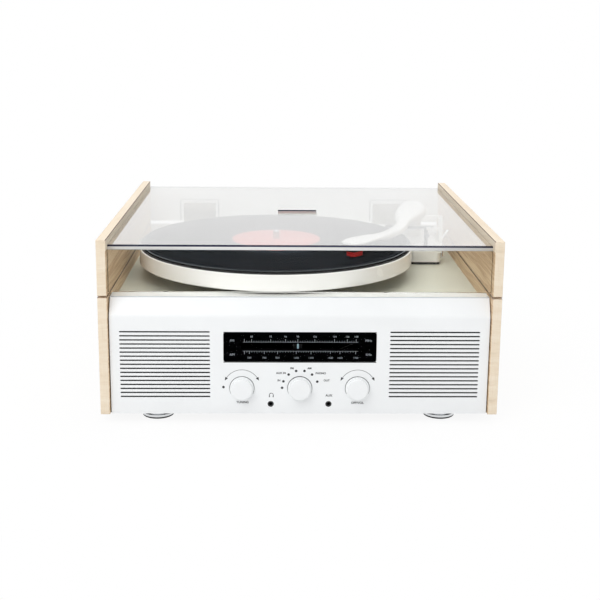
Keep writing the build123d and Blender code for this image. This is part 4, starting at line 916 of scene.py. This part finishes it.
# Numbers of the two tuning scales, each with its column in the photograph
FM_STATIONS = ((88, 251.6), (92, 270.8), (96, 285.7), (98, 298.0), (102, 315.1), (104, 334.9),
               (106, 347.8), (108, 356.7))
AM_STATIONS = ((530, 249.4), (700, 264.4), (850, 277.7), (1000, 296.5), (1200, 311.4), (1400, 330.9),
               (1600, 340.6), (1700, 356.4))
SCALE_START_PIXEL = 244.4
DIAL_CENTRE_PIXEL = 300.3
DIAL_PIXELS_PER_MM = 1.003
SCALE_LEFT, SCALE_RIGHT = -57.4, 58.2
FM_LINE, AM_LINE = 74.3, 64.9
FM_NUMBERS, AM_NUMBERS = 80.0, 57.8
MAJOR_TICK, MINOR_TICK = 3.0, 1.5
LINE_WIDTH, MAJOR_WIDTH, MINOR_WIDTH = 0.25, 0.4, 0.26
MINOR_SPACING = 2.5
NUMBER_CAPITAL, BAND_CAPITAL = 1.9, 2.5
BAND_WORDS = (("FM", -68, 75.6), ("AM", -68, 61.1), ("MHz", 68.8, 75.9), ("kHz", 69.1, 61.4))


def dial_x(pixel):
    """Place across the dial of a column of the photograph."""
    return (pixel - DIAL_CENTRE_PIXEL) / DIAL_PIXELS_PER_MM


def tuning_scale(marks, line, side, stations, number_height):
    """Base line, ticks and numbers of one scale; its ticks stand up or hang down from the line."""
    marks.bar((SCALE_LEFT + SCALE_RIGHT) / 2, line, SCALE_RIGHT - SCALE_LEFT, LINE_WIDTH)
    majors = [dial_x(SCALE_START_PIXEL)] + [dial_x(pixel) for number, pixel in stations]
    for x in majors:
        marks.bar(x, line + side * MAJOR_TICK / 2, MAJOR_WIDTH, MAJOR_TICK)
    for left, right in zip(majors, majors[1:]):
        count = round((right - left) / MINOR_SPACING)
        for index in range(1, count):
            x = left + (right - left) * index / count
            marks.bar(x, line + side * MINOR_TICK / 2, MINOR_WIDTH, MINOR_TICK)
    for number, pixel in stations:
        marks.text(str(number), dial_x(pixel), number_height, NUMBER_CAPITAL)


def dial_print():
    """The two tuning scales with the words beside them."""
    marks = Marks(SCALE_FRONT)
    tuning_scale(marks, FM_LINE, 1, FM_STATIONS, FM_NUMBERS)
    tuning_scale(marks, AM_LINE, -1, AM_STATIONS, AM_NUMBERS)
    for words, x, height in BAND_WORDS:
        marks.text(words, x, height, BAND_CAPITAL)
    marks.finish("dial_print", print_grey, slot="scale_black")


# Curved arrows over the outer knobs
ARROW_RISE, ARROW_RADIUS, ARROW_WIDTH = 1.2, 18.2, 0.4
ARROW_START, ARROW_END = 32, 148
# Arrowheads: angle of the foot and way on to the tip, that way's angle, and radii of foot and tip
HEAD_FEET = ((33, -1), (147, 1))
HEAD_REACH = 11
HEAD_RADII, TIP_RADIUS = (16.8, 19.8), 18.5
DOT_RADIUS = 1.3
TUNING_DOT = (-76.7, 28.0)
SELECTOR_MIDDLE, SELECTOR_RADIUS = (0.5, 27.3), 18.3
SELECTOR_ANGLES = (180, 158, 130, 103.5, 77, 50, 21)
SELECTOR_LABELS = (("IN", -21.0, 35.0), ("AUX IN", -19.0, 42.8), ("FM", -8.0, 47.8), ("AM", 9.6, 47.8),
                   ("PHONO", 21.0, 42.6), ("OUT", 27.0, 35.0))
KNOB_LABELS = (("TUNING", -57.6, 11.9), ("OFF/VOL", 58.5, 11.3), ("AUX", 29.5, 19.1))
SELECTOR_CAPITAL, KNOB_CAPITAL = 2.0, 2.25
PRINT_WEIGHT = 0.09
# Headphone sign: a bow and a cushion at each of its ends
BOW_X, BOW_HEIGHT, BOW_RADIUS, BOW_WIDTH = -28.6, 19.6, 2.0, 0.55
BOW_START, BOW_END = -30, 210
CUSHION_OUT, CUSHION_HEIGHT = 1.9, 18.2
CUSHION_WIDTH, CUSHION_TALL = 0.9, 1.7


def knob_arrows(marks, x):
    """Curved line with a head at each end, over a knob."""
    height = KNOB_HEIGHT + ARROW_RISE
    marks.arc(x, height, ARROW_RADIUS, ARROW_START, ARROW_END, ARROW_WIDTH)
    for foot_deg, way in HEAD_FEET:
        foot = [polar(x, height, radius, foot_deg) for radius in HEAD_RADII]
        marks.face([*foot, polar(x, height, TIP_RADIUS, foot_deg + way * HEAD_REACH)])


def fascia_print():
    """Arrows, dots and words round the knobs and sockets."""
    marks = Marks(FASCIA_FRONT)
    for side in (-1, 1):
        knob_arrows(marks, side * KNOB_SPACING)
    marks.dot(*TUNING_DOT, DOT_RADIUS)
    for angle_deg in SELECTOR_ANGLES:
        marks.dot(*polar(*SELECTOR_MIDDLE, SELECTOR_RADIUS, angle_deg), DOT_RADIUS)
    for labels, capital in ((SELECTOR_LABELS, SELECTOR_CAPITAL), (KNOB_LABELS, KNOB_CAPITAL)):
        for words, x, height in labels:
            marks.text(words, x, height, capital, PRINT_WEIGHT)
    marks.arc(BOW_X, BOW_HEIGHT, BOW_RADIUS, BOW_START, BOW_END, BOW_WIDTH)
    for side in (-1, 1):
        marks.bar(BOW_X + side * CUSHION_OUT, CUSHION_HEIGHT, CUSHION_WIDTH, CUSHION_TALL)
    marks.finish("fascia_print", print_dark)


LAMP_STRENGTH, SEEN_STRENGTH = 0.55, 1.0


def studio_world():
    """White surroundings: full white where they are seen, softer as a lamp."""
    world = bpy.data.worlds.new("studio")
    bpy.context.scene.world = world
    world.use_nodes = True
    tree = world.node_tree
    tree.nodes.clear()
    paths = tree.nodes.new("ShaderNodeLightPath")
    seen = paths.outputs["Is Camera Ray"]
    for name in ("Is Glossy Ray", "Is Transmission Ray"):
        either = tree.nodes.new("ShaderNodeMath")
        either.operation = "MAXIMUM"
        tree.links.new(seen, either.inputs[0])
        tree.links.new(paths.outputs[name], either.inputs[1])
        seen = either.outputs[0]
    mix = tree.nodes.new("ShaderNodeMixShader")
    tree.links.new(seen, mix.inputs[0])
    for socket, strength in ((1, LAMP_STRENGTH), (2, SEEN_STRENGTH)):
        light = tree.nodes.new("ShaderNodeBackground")
        light.inputs["Color"].default_value = grey(1.0)
        light.inputs["Strength"].default_value = strength
        tree.links.new(light.outputs[0], mix.inputs[socket])
    output = tree.nodes.new("ShaderNodeOutputWorld")
    tree.links.new(mix.outputs[0], output.inputs["Surface"])


# Places of the lamps in metres of the scene
LAMP_TARGET = Vector((0.0, 0.0, 0.1))
KEY_PLACE, KEY_SIZE, KEY_POWER = (-0.9, -1.5, 1.9), 1.6, 25
TOP_PLACE, TOP_SIZE, TOP_POWER = (0.3, 0.3, 2.2), 1.8, 15.5


def lamp(name, position, size, power):
    """Square soft light that faces the cabinet."""
    light = bpy.data.lights.new(name, "AREA")
    light.size = size
    light.energy = power
    holder = in_scene(name, light)
    holder.location = position
    holder.rotation_euler = (LAMP_TARGET - Vector(position)).to_track_quat("-Z", "Y").to_euler()


FLOOR_RADIUS, FLOOR_SIDES = 9.0, 96
FLOOR_GRAIN_MM = 25.0
# The floor turns to plain white between these distances, and is near it from the start
FADE_START, FADE_END, FADE_LEAST = 0.2, 0.5, 0.9


def floor_finish():
    """Matt white that keeps the object's shadow and fades into the background."""
    graph = Graph("floor_white")
    grain = graph.noise(graph.space(), 1 / (FLOOR_GRAIN_MM * MM), 2.0)
    tone = graph.ramp(grain, ((RAMP_LOW, grey(0.93)), (RAMP_HIGH, grey(0.95))))
    matt = graph.principled({"Base Color": tone, "Roughness": 0.9, "Specular IOR Level": 0.0})
    paths = graph.add("LightPath")
    seen = graph.math("MAXIMUM", paths.outputs["Is Camera Ray"], paths.outputs["Is Glossy Ray"])
    seen = graph.math("MAXIMUM", seen, paths.outputs["Is Transmission Ray"])
    distance = graph.add("VectorMath", {0: graph.space()}, operation="LENGTH").outputs["Value"]
    far = graph.add("MapRange", {"Value": distance, "From Min": FADE_START, "From Max": FADE_END,
                                 "To Min": FADE_LEAST}).outputs[0]
    white = graph.add("Emission", {"Color": grey(1.0), "Strength": 1.0}).outputs[0]
    share = graph.math("MULTIPLY", far, seen)
    return graph.close(graph.add("MixShader", {0: share, 1: matt, 2: white}).outputs[0])


def floor():
    """Round floor under the object."""
    draft = bmesh.new()
    bmesh.ops.create_circle(draft, cap_ends=True, radius=FLOOR_RADIUS, segments=FLOOR_SIDES)
    mesh = mesh_of(draft, "floor")
    mesh.materials.append(floor_finish())
    in_scene("floor", mesh)


# Camera of the photograph, solved from the cabinet's edges; pixels are those of the photograph
CAMERA_PLACE = (-25.64, -1026.84, 391.91)
CAMERA_YAW, CAMERA_PITCH, CAMERA_ROLL = 1.37, -12.18, 0.53
FOCAL_PIXELS, PICTURE_PIXELS, CENTRE_ROW = 1075.8, 600.0, 249.8
SENSOR_MM = 36.0


def camera():
    """Camera that sees the object as the photograph shows it."""
    yaw, pitch, roll = (math.radians(value) for value in (CAMERA_YAW, CAMERA_PITCH, CAMERA_ROLL))
    forward = Vector((math.sin(yaw) * math.cos(pitch), math.cos(yaw) * math.cos(pitch), math.sin(pitch)))
    right = Vector((math.cos(yaw), -math.sin(yaw), 0.0))
    up = right.cross(forward)
    turned_right = math.cos(roll) * right + math.sin(roll) * up
    turned_up = math.cos(roll) * up - math.sin(roll) * right
    data = bpy.data.cameras.new("camera")
    data.sensor_width = SENSOR_MM
    data.lens = FOCAL_PIXELS / PICTURE_PIXELS * SENSOR_MM
    data.shift_y = (CENTRE_ROW - PICTURE_PIXELS / 2) / PICTURE_PIXELS
    holder = in_scene("camera", data)
    axes = Matrix((turned_right, turned_up, -forward)).transposed()
    holder.matrix_world = Matrix.Translation(place(*CAMERA_PLACE)) @ axes.to_4x4()
    bpy.context.scene.camera = holder


dress_frame()
for node in SOFT_NODES:
    soften(node)
lid_shell()
arm_moulding()
headshell_screw()
foot_sleeves()
knob_rings()
dial_border()
dial_card()
hinge_pocket_rims()
dial_print()
fascia_print()
studio_world()
lamp("key", KEY_PLACE, KEY_SIZE, KEY_POWER)
lamp("top", TOP_PLACE, TOP_SIZE, TOP_POWER)
floor()
camera()
bpy.context.scene.view_settings.view_transform = "Standard"
